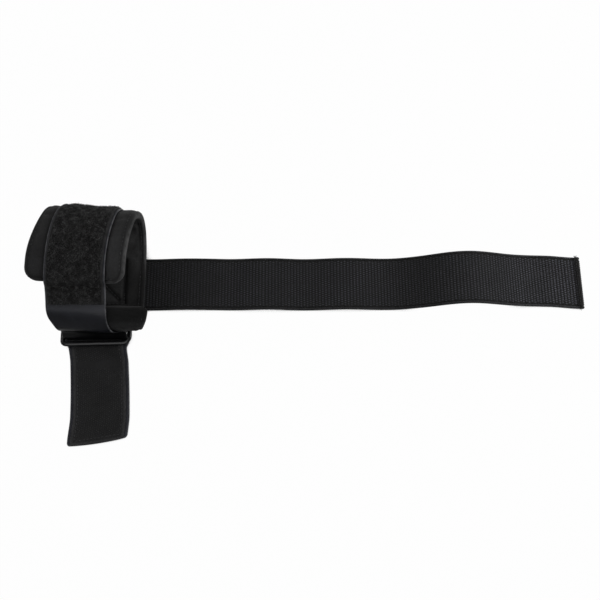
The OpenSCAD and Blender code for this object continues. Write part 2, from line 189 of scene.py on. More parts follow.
@dataclass(frozen=True)
class Line:
    """A line in an upright plane, in fine steps.

    Attributes:
        a: Place along the floor.
        z: Height.
        heading: Direction in degrees, 0 along the floor, growing to the left.
        s: Distance from the start.
    """

    a: Array
    z: Array
    heading: Array
    s: Array

    @staticmethod
    def of(rows: Array) -> "Line":
        """Makes a line from rows of place, height and heading.

        Args:
            rows: One row for each point.

        Returns:
            The line, measured along its points.
        """
        return Line(rows[:, 0], rows[:, 1], rows[:, 2], lengths_along(rows[:, :2]))

    @staticmethod
    def walk(start: Station, moves: Sequence[Pair]) -> "Line":
        """Walks along arcs and straights.

        Args:
            start: Place, height and heading of the first point.
            moves: (radius, degrees) with turns to the left positive, or (0, length).

        Returns:
            The line walked.
        """
        rows = [np.array([start])]
        for radius, amount in moves:
            a, z, heading = rows[-1][-1]
            length = amount if radius == 0 else abs(math.radians(amount)) * radius
            count = max(2, math.ceil(length / FINE))
            share = np.arange(1, count + 1) / count
            turn = np.zeros_like(share) if radius == 0 else amount * share
            now, then = math.radians(heading), np.radians(heading + turn)
            if radius == 0:
                places = [a + amount * share * math.cos(now), z + amount * share * math.sin(now)]
            else:
                side = math.copysign(radius, amount)
                places = [
                    a + side * (np.sin(then) - math.sin(now)),
                    z - side * (np.cos(then) - math.cos(now)),
                ]
            rows.append(np.column_stack([*places, heading + turn]))
        return Line.of(np.concatenate(rows))

    @staticmethod
    def link(first: Station, last: Station, reach_first: float, reach_last: float) -> "Line":
        """Joins two stations by a smooth curve.

        Args:
            first: Place, height and heading at the start.
            last: Place, height and heading at the end.
            reach_first: Length of the curve's handle at the start.
            reach_last: Length of its handle at the end.

        Returns:
            The curve.
        """
        t = np.linspace(0, 1, 41)[:, None]
        u = 1 - t
        one, four = np.array(first[:2]), np.array(last[:2])
        two = one + reach_first * heading_vector(first[2])
        three = four - reach_last * heading_vector(last[2])
        place = u**3 * one + 3 * u * u * t * two + 3 * u * t * t * three + t**3 * four
        speed = u * u * (two - one) + 2 * u * t * (three - two) + t * t * (four - three)
        return Line.of(np.column_stack([place, np.degrees(np.arctan2(speed[:, 1], speed[:, 0])) % 360]))

    @staticmethod
    def join(*lines: "Line") -> "Line":
        """Joins lines end to start, each shared point once."""
        rows = [line.rows()[:-1] for line in lines[:-1]] + [lines[-1].rows()]
        return Line.of(np.concatenate(rows))

    def rows(self) -> Array:
        """Rows of place, height and heading."""
        return np.column_stack([self.a, self.z, self.heading])

    def turned(self, degrees: float) -> "Line":
        """The same line with its headings counted on by some degrees."""
        return Line(self.a, self.z, self.heading + degrees, self.s)

    def backwards(self) -> "Line":
        """The same line from its end to its start."""
        return Line.of(self.rows()[::-1]).turned(-180)

    def pushed(self, distance: float) -> "Line":
        """The line moved outwards, to the right of its heading."""
        turn = np.radians(self.heading)
        places = [self.a + distance * np.sin(turn), self.z - distance * np.cos(turn)]
        return Line.of(np.column_stack([*places, self.heading]))

    def cut(self, start: float, end: float) -> "Line":
        """The stretch between two distances."""
        s = np.concatenate([[start], self.s[(self.s > start) & (self.s < end)], [end]])
        return Line.of(np.column_stack(self.at(s)))

    def at(self, s: Array) -> tuple[Array, Array, Array]:
        """Place, height and heading at distances along the line, going straight on past its ends."""
        heading = np.interp(s, self.s, self.heading)
        past = np.minimum(s, 0) + np.maximum(s - self.s[-1], 0)
        turn = np.radians(heading)
        a = np.interp(s, self.s, self.a) + past * np.cos(turn)
        z = np.interp(s, self.s, self.z) + past * np.sin(turn)
        return a, z, heading

    def station(self, s: float) -> Station:
        """Place, height and heading at one distance."""
        a, z, heading = self.at(np.array([s]))
        return float(a[0]), float(z[0]), float(heading[0])

    @property
    def length(self) -> float:
        """Length of the line."""
        return float(self.s[-1])


def heading_vector(heading: float) -> Array:
    """Unit vector of a heading in degrees."""
    return np.array([math.cos(math.radians(heading)), math.sin(math.radians(heading))])


@dataclass(frozen=True)
class Track:
    """A line in its plane, which turns places on a band into points.

    Attributes:
        line: The line.
        plane: Its plane.
        lift: How far everything on it stands out further, at places (s, x).
        tuck: How far everything on it moves across, at places (s, x).
    """

    line: Line
    plane: Plane
    lift: Fade | None = None
    tuck: Fade | None = None

    def place(self, s: Array, x: Array, h: Array | float) -> Array:
        """Points of places on the track.

        Args:
            s: Distance along the track.
            x: Place across it, in the frame's own coordinate.
            h: Height outwards from it.

        Returns:
            Points in millimetres, with three values along the last axis.
        """
        a, z, heading = self.line.at(s)
        turn = np.radians(heading)
        h = h + self.lift(s, x) if self.lift else h
        x = x + self.tuck(s, x) if self.tuck else x
        if self.plane is Plane.SECTION:
            points = [x + 0 * a, a + h * np.sin(turn), z - h * np.cos(turn)]
        else:
            points = [a - h * np.sin(turn), x + 0 * a, z + h * np.cos(turn)]
        return np.stack(points, -1)

    def point(self, s: float, x: float, h: float) -> Vector:
        """One point on the track, in metres."""
        return Vector(self.place(np.array(s), np.array(x), h) * MM)


def eased(t: Array | float) -> Array | float:
    """A smooth step from 0 to 1 as t goes from 0 to 1."""
    t = np.clip(t, 0, 1)
    return t * t * (3 - 2 * t)


def ridge(distance: Array, place: float, width: float) -> Array:
    """A soft ridge of height 1 at a distance, with the given width."""
    return np.exp(-(((distance - place) / width) ** 2))


@dataclass(frozen=True)
class Ramp:
    """A smooth step: where it starts, how far it reaches (backwards if negative) and its height."""

    start: float
    reach: float
    height: float = 1.0

    def __call__(self, distance: Array | float) -> Array | float:
        """Its height at a distance."""
        return self.height * eased((distance - self.start) / self.reach)


@dataclass(frozen=True)
class Ridge:
    """A soft ridge: where it stands, its width and its height."""

    place: float
    width: float
    height: float = 1.0

    def __call__(self, distance: Array) -> Array:
        """Its height at a distance."""
        return self.height * ridge(distance, self.place, self.width)


def soft_noise(s: Array, x: Array, cell: float, seed: int) -> Array:
    """Smooth noise from -1 to 1 over a plane.

    Args:
        s: First coordinate.
        x: Second coordinate.
        cell: Size of its lumps.
        seed: Which noise.

    Returns:
        One value for each place.
    """
    size = 256
    table = np.random.default_rng(seed).uniform(-1, 1, (size, size))
    u, v = s / cell + 1000, x / cell + 1000
    i, j = np.floor(u).astype(int), np.floor(v).astype(int)
    f, g = eased(u - i), eased(v - j)
    near = table[i % size, j % size] * (1 - g) + table[i % size, (j + 1) % size] * g
    far = table[(i + 1) % size, j % size] * (1 - g) + table[(i + 1) % size, (j + 1) % size] * g
    return near * (1 - f) + far * f


def places(length: float, step: float, edge: float, soft: tuple[bool, bool]) -> Array:
    """Places from 0 to a length, closer together within an edge's rounding.

    Args:
        length: The whole length.
        step: Distance between places away from the ends.
        edge: How far the rounding reaches in.
        soft: Whether the start and the end are rounded.

    Returns:
        The places, in order.
    """
    near = edge * np.array(ROUNDING)
    lead, trail = (edge if soft[0] else 0), (edge if soft[1] else 0)
    count = max(2, round((length - lead - trail) / step) + 1)
    middle = np.linspace(lead, length - trail, count)
    return np.concatenate([near if soft[0] else [], middle, length - near[::-1] if soft[1] else []])


def straight(place: float) -> Across:
    """The middle of a band that runs straight along its track."""
    return lambda s: place + 0 * s


def slab_faces(rows: int, columns: int, first: int = 0) -> Array:
    """Faces of a closed slab between two grids of points.

    Args:
        rows: Rows of each grid.
        columns: Points in a row.
        first: Number of the first grid's first point; the second grid's points follow the first's.

    Returns:
        The faces of the first grid, of the second and of the walls between their rims.
    """
    i, j = np.meshgrid(np.arange(rows - 1), np.arange(columns - 1), indexing="ij")
    a, below = first + i * columns + j, rows * columns
    face = np.stack([a, a + 1, a + columns + 1, a + columns], -1).reshape(-1, 4)
    loop = first + np.concatenate([
        np.arange(columns - 1),
        np.arange(rows - 1) * columns + columns - 1,
        (rows - 1) * columns + np.arange(columns - 1, 0, -1),
        np.arange(rows - 1, 0, -1) * columns,
    ])
    after = np.roll(loop, -1)
    walls = np.stack([after, loop, loop + below, after + below], -1)
    return np.concatenate([face, (face + below)[:, ::-1], walls])


def staggered(along: Pair, across: Pair, pitch: float) -> Array:
    """Places (s, x) at a pitch between two ends and two sides, every other line half a pitch on."""
    s, x = np.meshgrid(np.arange(*along, pitch), np.arange(*across, pitch), indexing="ij")
    s = s + pitch / 2 * (np.arange(s.shape[1]) % 2)[None, :]
    return np.column_stack([s.ravel(), x.ravel()])


def mesh_object(
    name: str, points: Array, faces: Sequence[Array], uv: Array, marks: dict[str, Array] | None = None,
) -> Piece:
    """Makes a smooth mesh object.

    Args:
        name: Name of the piece.
        points: Its points, in millimetres.
        faces: Point numbers of its faces, one array for those with the same number of corners.
        uv: Two flat coordinates in millimetres for each point.
        marks: Values for each point that its materials read, by name.

    Returns:
        The object, linked to the scene.
    """
    mesh = bpy.data.meshes.new(name)
    mesh.vertices.add(len(points))
    mesh.vertices.foreach_set("co", (points * MM).astype(np.float32).ravel())
    sizes = np.concatenate([np.full(len(f), f.shape[1]) for f in faces])
    mesh.loops.add(int(sizes.sum()))
    mesh.loops.foreach_set("vertex_index", np.concatenate([f.ravel() for f in faces]).astype(np.int32))
    mesh.polygons.add(len(sizes))
    mesh.polygons.foreach_set("loop_start", (np.cumsum(sizes) - sizes).astype(np.int32))
    mesh.update(calc_edges=True)
    mesh.validate()
    layer = mesh.uv_layers.new(name="UVMap")
    corners = np.zeros(len(mesh.loops), np.int32)
    mesh.loops.foreach_get("vertex_index", corners)
    layer.data.foreach_set("uv", uv[corners].astype(np.float32).ravel())
    for key, values in (marks or {}).items():
        mesh.attributes.new(key, "FLOAT", "POINT").data.foreach_set("value", values.astype(np.float32))
    mesh.shade_smooth()
    mesh.set_sharp_from_angle(angle=math.radians(SHARP))
    made = bpy.data.objects.new(name, mesh)
    bpy.context.scene.collection.objects.link(made)
    return made


@dataclass
class Band:
    """A flat closed band that lies on a track: the form of every strap, tape and pad layer.

    Attributes:
        name: Name of the piece.
        track: What it lies on.
        start: Where it starts along the track.
        end: Where it ends.
        low: Height of its inner face.
        high: Height of its outer face.
        half: Half its width.
        middle: Its middle across the track, at distances along it.
        step: Distance between points along it.
        pitch: Distance between points across it.
        edge: Radius of its rounded edges.
        corners: Radius of its corners in plan, at the start and the end.
        soft: Whether its start and its end are rounded.
        skew: How far its end leans along for each millimetre across.
        bow: How much its end rounds off, for each square millimetre across.
        flare: How much wider each half is, at distances along it.
        top: What its outer face adds to its height, from s, x and the distance to the rim.
        base: What its inner face adds, outwards.
        worn: Painted shade at places (s, x), as the share of colour kept, 1 where none is painted; where it
            is deep it also keeps pale rims off.
        sunk: How dark its hollows are painted, as painted shade; 1 is fully.
    """

    name: str
    track: Track
    start: float
    end: float
    low: float
    high: float
    half: float
    middle: Across
    step: float = 1.5
    pitch: float = 1.5
    edge: float = 0.4
    corners: Pair = (0.0, 0.0)
    soft: tuple[bool, bool] = (True, True)
    skew: float = 0.0
    bow: float = 0.0
    flare: Across | None = None
    top: Relief | None = None
    base: Relief | None = None
    worn: Fade | None = None
    sunk: float = 1.0
    shape: tuple[int, int] = field(default=(0, 0), init=False)
    rim: Array = field(default=None, init=False, repr=False)
    s: Array = field(default=None, init=False, repr=False)
    x: Array = field(default=None, init=False, repr=False)

    def build(self) -> Piece:
        """Builds the band's mesh and returns its object."""
        length = self.end - self.start
        along = places(length, self.step, self.edge, self.soft)[:, None]
        across = places(2 * self.half, self.pitch, self.edge, (True, True))[None, :] - self.half
        cut_start = corner_cut(along, self.corners[0]) if self.soft[0] else 0 * along
        cut_end = corner_cut(length - along, self.corners[1]) if self.soft[1] else 0 * along
        local = across * (self.half - cut_start - cut_end) / self.half
        self.s = self.start + along * (1 + (self.skew * local - self.bow * local**2) / length)
        wider = 1 + self.flare(self.s) / self.half if self.flare else 1
        self.x = self.middle(self.s) + local * wider
        from_side = (self.half - np.abs(across)) + 0 * along
        from_start = along + 0 * across if self.soft[0] else np.full_like(from_side, length)
        from_end = length - along + 0 * across if self.soft[1] else np.full_like(from_side, length)
        from_ends = np.minimum(from_start, from_end)
        self.rim = np.minimum(from_side, from_ends)
        drop = self.edge - np.sqrt(np.maximum(
            0,
            self.edge**2
            - np.maximum(0, self.edge - from_side) ** 2
            - np.maximum(0, self.edge - from_ends) ** 2,
        ))
        self.shape = self.s.shape
        flat = np.zeros_like(self.rim)
        lift = self.top(self.s, local, self.rim) if self.top else flat
        sink = self.base(self.s, local, self.rim) if self.base else flat
        outer, inner = self.high - drop + lift, self.low + drop + sink
        points = np.concatenate([self.track.place(self.s, self.x, h).reshape(-1, 3) for h in (outer, inner)])
        uv = np.stack([self.s, local], -1).reshape(-1, 2)
        # Painted shade: the crest mark darkens the hollows of both faces and the painted-shade places, and
        # the rim mark moves in where that shade is deep, so no pale rim shows there.
        unshaded = self.worn(self.s, local) + 0 * self.rim if self.worn else np.ones_like(self.rim)
        crests = [(1 - self.sunk * (1 - share_of_range(height))) * unshaded for height in (lift, -sink)]
        marks = {
            "rim": np.tile((self.rim + SHADED_RIM_SHIFT * (1 - unshaded)).ravel(), 2),
            "crest": np.stack(crests).ravel(),
        }
        made = mesh_object(self.name, points, [slab_faces(*self.shape)], np.tile(uv, (2, 1)), marks)
        face_outwards(made)
        return made


def share_of_range(values: Array) -> Array:
    """Each value's place between the low and the high ones, or 1 where all are alike."""
    low, high = np.percentile(values, (8, 96))
    return np.clip((values - low) / (high - low), 0, 1) if high - low > 1e-6 else np.ones_like(values)


def corner_cut(distance: Array, radius: float) -> Array:
    """What a round corner takes off the half width at a distance from the end."""
    inside = np.maximum(0, radius - distance)
    return radius - np.sqrt(np.maximum(0, radius**2 - inside**2))


def face_outwards(piece: Piece) -> None:
    """Turns a closed mesh's faces outwards if its volume comes out negative."""
    mesh = piece.data
    mesh.calc_loop_triangles()
    corners = np.zeros(len(mesh.loop_triangles) * 3, np.int32)
    mesh.loop_triangles.foreach_get("vertices", corners)
    points = np.zeros(len(mesh.vertices) * 3, np.float32)
    mesh.vertices.foreach_get("co", points)
    a, b, c = points.reshape(-1, 3)[corners.reshape(-1, 3)].transpose(1, 0, 2)
    if np.einsum("ij,ij->i", a, np.cross(b, c)).sum() < 0:
        mesh.flip_normals()


@dataclass
class Stitching:
    """Rows of thread stitches on a track.

    Attributes:
        name: Name of the piece.
        track: What the stitches lie on.
        rows: Each row as a run of (s, x) places.
        height: Height of the thread's middle over the track.
        middle: Middle of the band, which the rows' x is counted from.
        pitch: Distance from stitch to stitch.
        gap: Distance between stitches.
        thick: Thickness of the thread.
    """

    name: str
    track: Track
    rows: Sequence[Sequence[Pair]]
    height: float
    middle: Across
    pitch: float = 3.0
    gap: float = 0.7
    thick: float = 0.45

    def build(self) -> Piece:
        """Builds every stitch as a small round-ended thread and returns the piece."""
        starts, ends = zip(*(self._split(np.array(row, float)) for row in self.rows))
        first, last = np.concatenate(starts), np.concatenate(ends)
        along = np.array([0, 0.1, 0.3, 0.5, 0.7, 0.9, 1])
        girth = np.array([0.2, 0.7, 1, 1, 1, 0.7, 0.2]) * self.thick / 2
        sink = np.array([-0.8, -0.35, 0, 0.05, 0, -0.35, -0.8]) * self.thick / 2
        spot = first[:, None, :] + (last - first)[:, None, :] * along[None, :, None]
        s, x = spot[..., 0], spot[..., 1] + self.middle(spot[..., 0])
        core = self.track.place(s, x, self.height + sink[None, :])
        out = self.track.place(s, x, self.height + 1 + sink[None, :]) - core
        return thread_object(self.name, core, out, girth, 6)

    def _split(self, row: Array) -> tuple[Array, Array]:
        """Starts and ends of the stitches along one row."""
        distance = lengths_along(row)
        count = max(1, round(distance[-1] / self.pitch))
        pitch = distance[-1] / count
        first = np.arange(count) * pitch + self.gap / 2
        last = first + pitch - self.gap
        ends = [np.column_stack([np.interp(t, distance, row[:, k]) for k in (0, 1)]) for t in (first, last)]
        return ends[0], ends[1]


def thread_object(
    name: str, core: Array, out: Array, girth: Array, sides: int, crest: Array | float = 1.0,
) -> Piece:
    """Makes many thin round threads as one piece.

    Args:
        name: Name of the piece.
        core: Points along each thread's middle, threads by points by three.
        out: Outward directions at those points.
        girth: Radius at each point along a thread.
        sides: Sides of each thread.
        crest: How pale each thread is, from 0 to 1.

    Returns:
        The piece.
    """
    count, rings = core.shape[:2]
    tangent = np.gradient(core, axis=1)
    side = np.cross(tangent, out)
    side /= np.linalg.norm(side, axis=-1, keepdims=True) + 1e-9
    rise = np.cross(side, tangent)
    rise /= np.linalg.norm(rise, axis=-1, keepdims=True) + 1e-9
    turn = 2 * np.pi * np.arange(sides) / sides
    spread = (
        side[:, :, None, :] * np.cos(turn)[None, None, :, None]
        + rise[:, :, None, :] * np.sin(turn)[None, None, :, None]
    )
    points = core[:, :, None, :] + spread * np.broadcast_to(girth, (count, rings))[:, :, None, None]
    i, j, k = np.meshgrid(np.arange(count), np.arange(rings - 1), np.arange(sides), indexing="ij")
    a = (i * rings + j) * sides + k
    b = (i * rings + j) * sides + (k + 1) % sides
    quads = np.stack([a, b, b + sides, a + sides], -1).reshape(-1, 4)
    start = (np.arange(count) * rings * sides)[:, None]
    caps = [start + np.arange(sides)[::-1], start + (rings - 1) * sides + np.arange(sides)]
    number = np.repeat(np.arange(count), rings * sides)
    uv = np.column_stack([np.tile(np.arange(rings * sides) / sides, count), number])
    marks = {"crest": np.repeat(np.broadcast_to(crest, (count,)), rings * sides)}
    made = mesh_object(name, points.reshape(-1, 3), [quads, *caps], uv, marks)
    face_outwards(made)
    return made


@dataclass
class Tufts:
    """Small upstanding fibres scattered or set out over a track, as loop pile or hooks.

    Attributes:
        name: Name of the piece.
        track: What they stand on.
        places: Places (s, x) of their feet, in rows.
        feet: Height of each foot over the track.
        shape: The form of one fibre as points (sideways, up) of height 1.
        tall: Height of each fibre.
        lean: Direction in which each one leans, in radians.
        crest: How pale each one is, from 0 to 1.
        thick: Thickness of a fibre.
        bend: How much the fibres stray.
        seed: Which random bends they have.
    """

    name: str
    track: Track
    places: Array
    feet: Array
    shape: Array
    tall: Array
    lean: Array
    crest: Array | float = 1.0
    thick: float = 0.14
    bend: float = 0.25
    seed: int = 1

    def build(self) -> Piece:
        """Builds all the fibres as one piece and returns it."""
        random = np.random.default_rng(self.seed)
        s, x = self.places[:, 0], self.places[:, 1]
        foot = self.track.place(s, x, self.feet)
        up = self.track.place(s, x, self.feet + 1) - foot
        along = self.track.place(s + 0.5, x, self.feet) - foot
        along /= np.linalg.norm(along, axis=-1, keepdims=True)
        across = np.cross(up, along)
        lean = along * np.cos(self.lean)[:, None] + across * np.sin(self.lean)[:, None]
        side = self.shape[None, :, 0, None] * lean[:, None, :]
        rise = self.shape[None, :, 1, None] * up[:, None, :]
        core = foot[:, None, :] + self.tall[:, None, None] * (side + rise)
        wander = random.normal(0, self.bend, core.shape) * self.shape[None, :, 1, None]
        core = core + wander * self.tall[:, None, None]
        out = np.cross(np.gradient(core, axis=1), lean[:, None, :] + 0.01)
        girth = np.full(core.shape[1], self.thick / 2)
        girth[-1] *= 0.5
        return thread_object(self.name, core, out, girth, 3, self.crest)


# ---- Finishes ----


@dataclass(frozen=True)
class Graph:
    """Short ways to fill a node tree."""

    tree: Tree

    def add(self, kind: str, inputs: dict | None = None, **settings: object) -> bpy.types.Node:
        """Adds a node.

        Args:
            kind: Its type without the ShaderNode prefix.
            inputs: Values or sockets for its inputs, by name or number.
            settings: Its own settings.

        Returns:
            The node.
        """
        node = self.tree.nodes.new("ShaderNode" + kind)
        for key, value in settings.items():
            setattr(node, key, value)
        self.feed(node, inputs or {})
        return node

    def feed(self, node: bpy.types.Node, inputs: dict) -> None:
        """Sets a node's inputs to values, or links them where a socket is given."""
        for key, value in inputs.items():
            if isinstance(value, Socket):
                self.tree.links.new(value, node.inputs[key])
            else:
                node.inputs[key].default_value = value

    def place(self, effect: Tree, **inputs: float) -> dict[str, Socket]:
        """Places a shared effect with its own values and returns its outputs by name."""
        node = self.tree.nodes.new("ShaderNodeGroup")
        node.node_tree = effect
        self.feed(node, inputs)
        return {socket.name: socket for socket in node.outputs}

    def mark(self, name: str) -> Socket:
        """A value that the mesh's points carry."""
        return self.add("Attribute", attribute_name=name).outputs["Fac"]

    def bump(self, height: Socket, depth: float, strength: float) -> Socket:
        """The normals of a relief whose depth is in millimetres."""
        return self.add("Bump", {"Height": height, "Distance": depth * MM, "Strength": strength}).outputs[0]

    def math(self, operation: str, *values: object) -> Socket:
        """The result of a Math node on values or sockets."""
        return self.add("Math", dict(enumerate(values)), operation=operation).outputs[0]

    def mix(self, share: object, first: object, second: object) -> Socket:
        """A colour between two colours, or sockets that give them."""
        pair = [(*c, 1) if isinstance(c, tuple) and len(c) == 3 else c for c in (first, second)]
        return self.add("Mix", {0: share, 6: pair[0], 7: pair[1]}, data_type="RGBA").outputs[2]

    def between(
        self, value: object, low: float, high: float, to_low: float, to_high: float,
    ) -> Socket:
        """A value moved smoothly from one range into another."""
        inputs = {"Value": value, "From Min": low, "From Max": high, "To Min": to_low, "To Max": to_high}
        return self.add("MapRange", inputs, interpolation_type="SMOOTHSTEP").outputs[0]


class Effects:
    """The shared effects: shader node groups, each built once."""

    def __init__(self) -> None:
        """Builds the groups."""
        self.weave = self._weave()
        self.grain = self._grain()
        self.lint = self._lint()
        self.wear = self._wear()

    @staticmethod
    def _new(
        name: str, inputs: dict[str, float], outputs: Sequence[str],
    ) -> tuple[Graph, dict[str, Socket], bpy.types.Node]:
        """Starts a group.

        Args:
            name: The group's name.
            inputs: Its inputs with their usual values.
            outputs: Its outputs.

        Returns:
            Its graph, its input sockets by name and its output node.
        """
        tree = bpy.data.node_groups.new(name, "ShaderNodeTree")
        for key, value in inputs.items():
            socket = tree.interface.new_socket(key, in_out="INPUT", socket_type="NodeSocketFloat")
            socket.default_value = value
        for key in outputs:
            tree.interface.new_socket(key, in_out="OUTPUT", socket_type="NodeSocketFloat")
        source, sink = tree.nodes.new("NodeGroupInput"), tree.nodes.new("NodeGroupOutput")
        return Graph(tree), {key: source.outputs[key] for key in inputs}, sink

    def _weave(self) -> Tree:
        """Plain weave over the flat coordinates: each row of threads is offset by half a thread."""
        g, given, sink = self._new("thread weave", {"Along": 1.0, "Across": 1.0}, ["Height", "Tone"])
        flat = g.add("SeparateXYZ", {0: g.add("UVMap", uv_map="UVMap").outputs[0]})
        row = g.math("DIVIDE", flat.outputs[0], given["Along"])
        offset = g.math("MULTIPLY", g.math("MODULO", g.math("FLOOR", row), 2.0), 0.5)
        thread = g.math("ADD", g.math("DIVIDE", flat.outputs[1], given["Across"]), offset)
        crown = g.math("SINE", g.math("MULTIPLY", g.math("FRACT", row), math.pi))
        belly = g.math("SINE", g.math("MULTIPLY", g.math("FRACT", thread), math.pi))
        height = g.math("MULTIPLY", g.math("POWER", crown, 0.6), belly)
        spot = g.add("CombineXYZ", {0: g.math("FLOOR", row), 1: g.math("FLOOR", thread)})
        tone = g.add("TexWhiteNoise", {0: spot.outputs[0]}, noise_dimensions="2D").outputs[0]
        g.feed(sink, {"Height": height, "Tone": tone})
        return g.tree

    def _grain(self) -> Tree:
        """Pebbled grain with fine pores, as on coated leather."""
        g, given, sink = self._new("pebble grain", {"Scale": 1.0}, ["Height", "Tone"])
        flat = g.add("UVMap", uv_map="UVMap").outputs[0]
        cells = {"Vector": flat, "Scale": given["Scale"]}
        pebble = g.add("TexVoronoi", cells, feature="SMOOTH_F1").outputs[0]
        twice = g.math("MULTIPLY", given["Scale"], 3.1)
        pore = g.add("TexNoise", {"Vector": flat, "Scale": twice, "Detail": 3.0}).outputs[0]
        height = g.math("ADD", g.math("SUBTRACT", 1.0, pebble), g.math("MULTIPLY", pore, 0.5))
        cloud = g.add("TexNoise", {"Vector": flat, "Scale": 0.12, "Detail": 4.0}).outputs[0]
        g.feed(sink, {"Height": height, "Tone": cloud})
        return g.tree

    def _lint(self) -> Tree:
        """Sparse specks of lint and a soft cloudiness in the dye."""
        g, given, sink = self._new("lint and cloud", {"Scale": 1.0, "Amount": 0.5}, ["Specks", "Cloud"])
        where = g.add("TexCoord").outputs["Object"]
        fine = g.math("MULTIPLY", given["Scale"], 900.0)
        speck = g.add("TexNoise", {"Vector": where, "Scale": fine, "Detail": 2.0}).outputs[0]
        limit = g.math("SUBTRACT", 0.86, g.math("MULTIPLY", given["Amount"], 0.2))
        specks = g.math("MULTIPLY", g.math("MAXIMUM", g.math("SUBTRACT", speck, limit), 0.0), 6.0)
        coarse = g.math("MULTIPLY", given["Scale"], 60.0)
        cloud = g.add("TexNoise", {"Vector": where, "Scale": coarse, "Detail": 5.0}).outputs[0]
        g.feed(sink, {"Specks": specks, "Cloud": cloud})
        return g.tree

    def _wear(self) -> Tree:
        """Scuffed edges, paled partly as painted highlight: strong at the rim and broken up by noise."""
        g, given, sink = self._new("rim wear", {"Width": 1.0}, ["Mask"])
        share = g.math("DIVIDE", g.mark("rim"), given["Width"])
        near = g.math("SUBTRACT", 1.0, g.math("MINIMUM", share, 1.0))
        where = g.add("TexCoord").outputs["Object"]
        patch = g.add("TexNoise", {"Vector": where, "Scale": 260.0, "Detail": 3.0}).outputs[0]
        g.feed(sink, {"Mask": g.math("MULTIPLY", near, g.between(patch, 0.35, 0.65, 0.35, 1.0))})
        return g.tree


def new_material(name: str) -> tuple[Material, Graph, bpy.types.Node]:
    """Starts a material.

    Args:
        name: The material's name.

    Returns:
        The material, its graph and its Principled shader.
    """
    material = bpy.data.materials.new(name)
    material.use_nodes = True
    return material, Graph(material.node_tree), material.node_tree.nodes["Principled BSDF"]


@dataclass(frozen=True)
class Cloth:
    """A fabric with cloudy dye: weave, lint, scuffed edges paled partly as painted highlight, and painted
    shade between its threads and in its hollows.

    Attributes:
        name: Its name.
        deep: Colour between the threads, darker as painted shade.
        lit: Colour on the threads.
        thread: Size of a thread along and across, in millimetres.
        depth: Depth of the weave, in millimetres.
        rough: Roughness.
        shine: Strength of its mirror-like part.
        sheen: Strength of the fabric's sheen.
        lint: Amount of lint.
        hollow: Share of the colour that is left in painted shade: in the hollows of the form and at the
            band's painted-shade places.
        sharp: How quickly that painted shade deepens below the crests of the form.
        wear: Colour of scuffed edges, paled partly as painted highlight on the rim.
    """

    name: str
    deep: Colour
    lit: Colour
    thread: Pair
    depth: float = 0.12
    rough: float = 0.85
    shine: float = 0.045
    sheen: float = 0.04
    lint: float = 0.3
    hollow: float = 0.6
    sharp: float = 1.0
    wear: Colour = (0.03, 0.03, 0.031)

    def material(self, effects: Effects) -> Material:
        """Builds the material from the shared effects and returns it."""
        made, g, shader = new_material(self.name)
        weave = g.place(effects.weave, Along=self.thread[0], Across=self.thread[1])
        lint = g.place(effects.lint, Scale=1.0, Amount=self.lint)
        wear = g.place(effects.wear, Width=2.0)
        # Painted shade between the threads: the deep colour where the weave is low, the lit colour on its
        # crowns.
        threads = g.mix(weave["Height"], self.deep, self.lit)
        tone = g.between(weave["Tone"], 0.0, 1.0, 0.8, 1.2)
        cloudy = g.math("MULTIPLY", tone, g.between(lint["Cloud"], 0.3, 0.7, 0.85, 1.15))
        # Painted shade from the crest mark: the hollows of the form and the band's shaded places.
        crest = g.between(g.math("POWER", g.mark("crest"), self.sharp), 0.0, 1.0, self.hollow, 1.0)
        shaded = g.math("MULTIPLY", cloudy, crest)
        dyed_and_shaded = g.add("VectorMath", {0: threads, "Scale": shaded}, operation="SCALE").outputs[0]
        # Scuffed edges; on the dark cover their pale colour is partly a painted highlight on the rim.
        scuffed_and_lit = g.mix(g.math("MULTIPLY", wear["Mask"], 0.5), dyed_and_shaded, self.wear)
        g.feed(shader, {
            "Base Color": g.mix(lint["Specks"], scuffed_and_lit, DUST),
            "Roughness": g.between(weave["Tone"], 0.0, 1.0, self.rough - 0.06, self.rough + 0.06),
            "Sheen Weight": self.sheen,
            "Sheen Roughness": 0.5,
            "Specular IOR Level": self.shine,
            "Normal": g.bump(weave["Height"], self.depth, 0.8),
        })
        return made


@dataclass(frozen=True)
class Leather:
    """Coated leather-like sheet: pebbled grain, a satin face, scuffed edges paled partly as painted
    highlight, and painted shade from the crest mark.
    """

    name: str
    deep: Colour
    lit: Colour
    scale: float = 1.1
    depth: float = 0.06
    rough: Pair = (0.28, 0.38)
    shine: float = 0.35
    wear: Colour = (0.085, 0.086, 0.09)
    hollow: float = 0.05

    def material(self, effects: Effects) -> Material:
        """Builds the material from the shared effects and returns it."""
        made, g, shader = new_material(self.name)
        grain = g.place(effects.grain, Scale=self.scale)
        lint = g.place(effects.lint, Scale=0.6, Amount=0.15)
        wear = g.place(effects.wear, Width=0.9)
        # Painted shade from the crest mark, deepest where the free strap turns in to the ring.
        crest = g.between(g.mark("crest"), 0.0, 1.0, self.hollow, 1.0)
        plain = g.mix(grain["Tone"], self.deep, self.lit)
        face = g.add("VectorMath", {0: plain, "Scale": crest}, operation="SCALE").outputs[0]
        # Scuffed edges; on the dark strap their pale colour is partly a painted highlight on the rim.
        scuffed_and_lit = g.mix(g.math("MULTIPLY", wear["Mask"], 0.7), face, self.wear)
        g.feed(shader, {
            "Base Color": g.mix(lint["Specks"], scuffed_and_lit, DUST),
            "Roughness": g.between(grain["Tone"], 0.3, 0.7, *self.rough),
            "Specular IOR Level": self.shine,
            "Normal": g.bump(grain["Height"], self.depth, 0.6),
        })
        return made


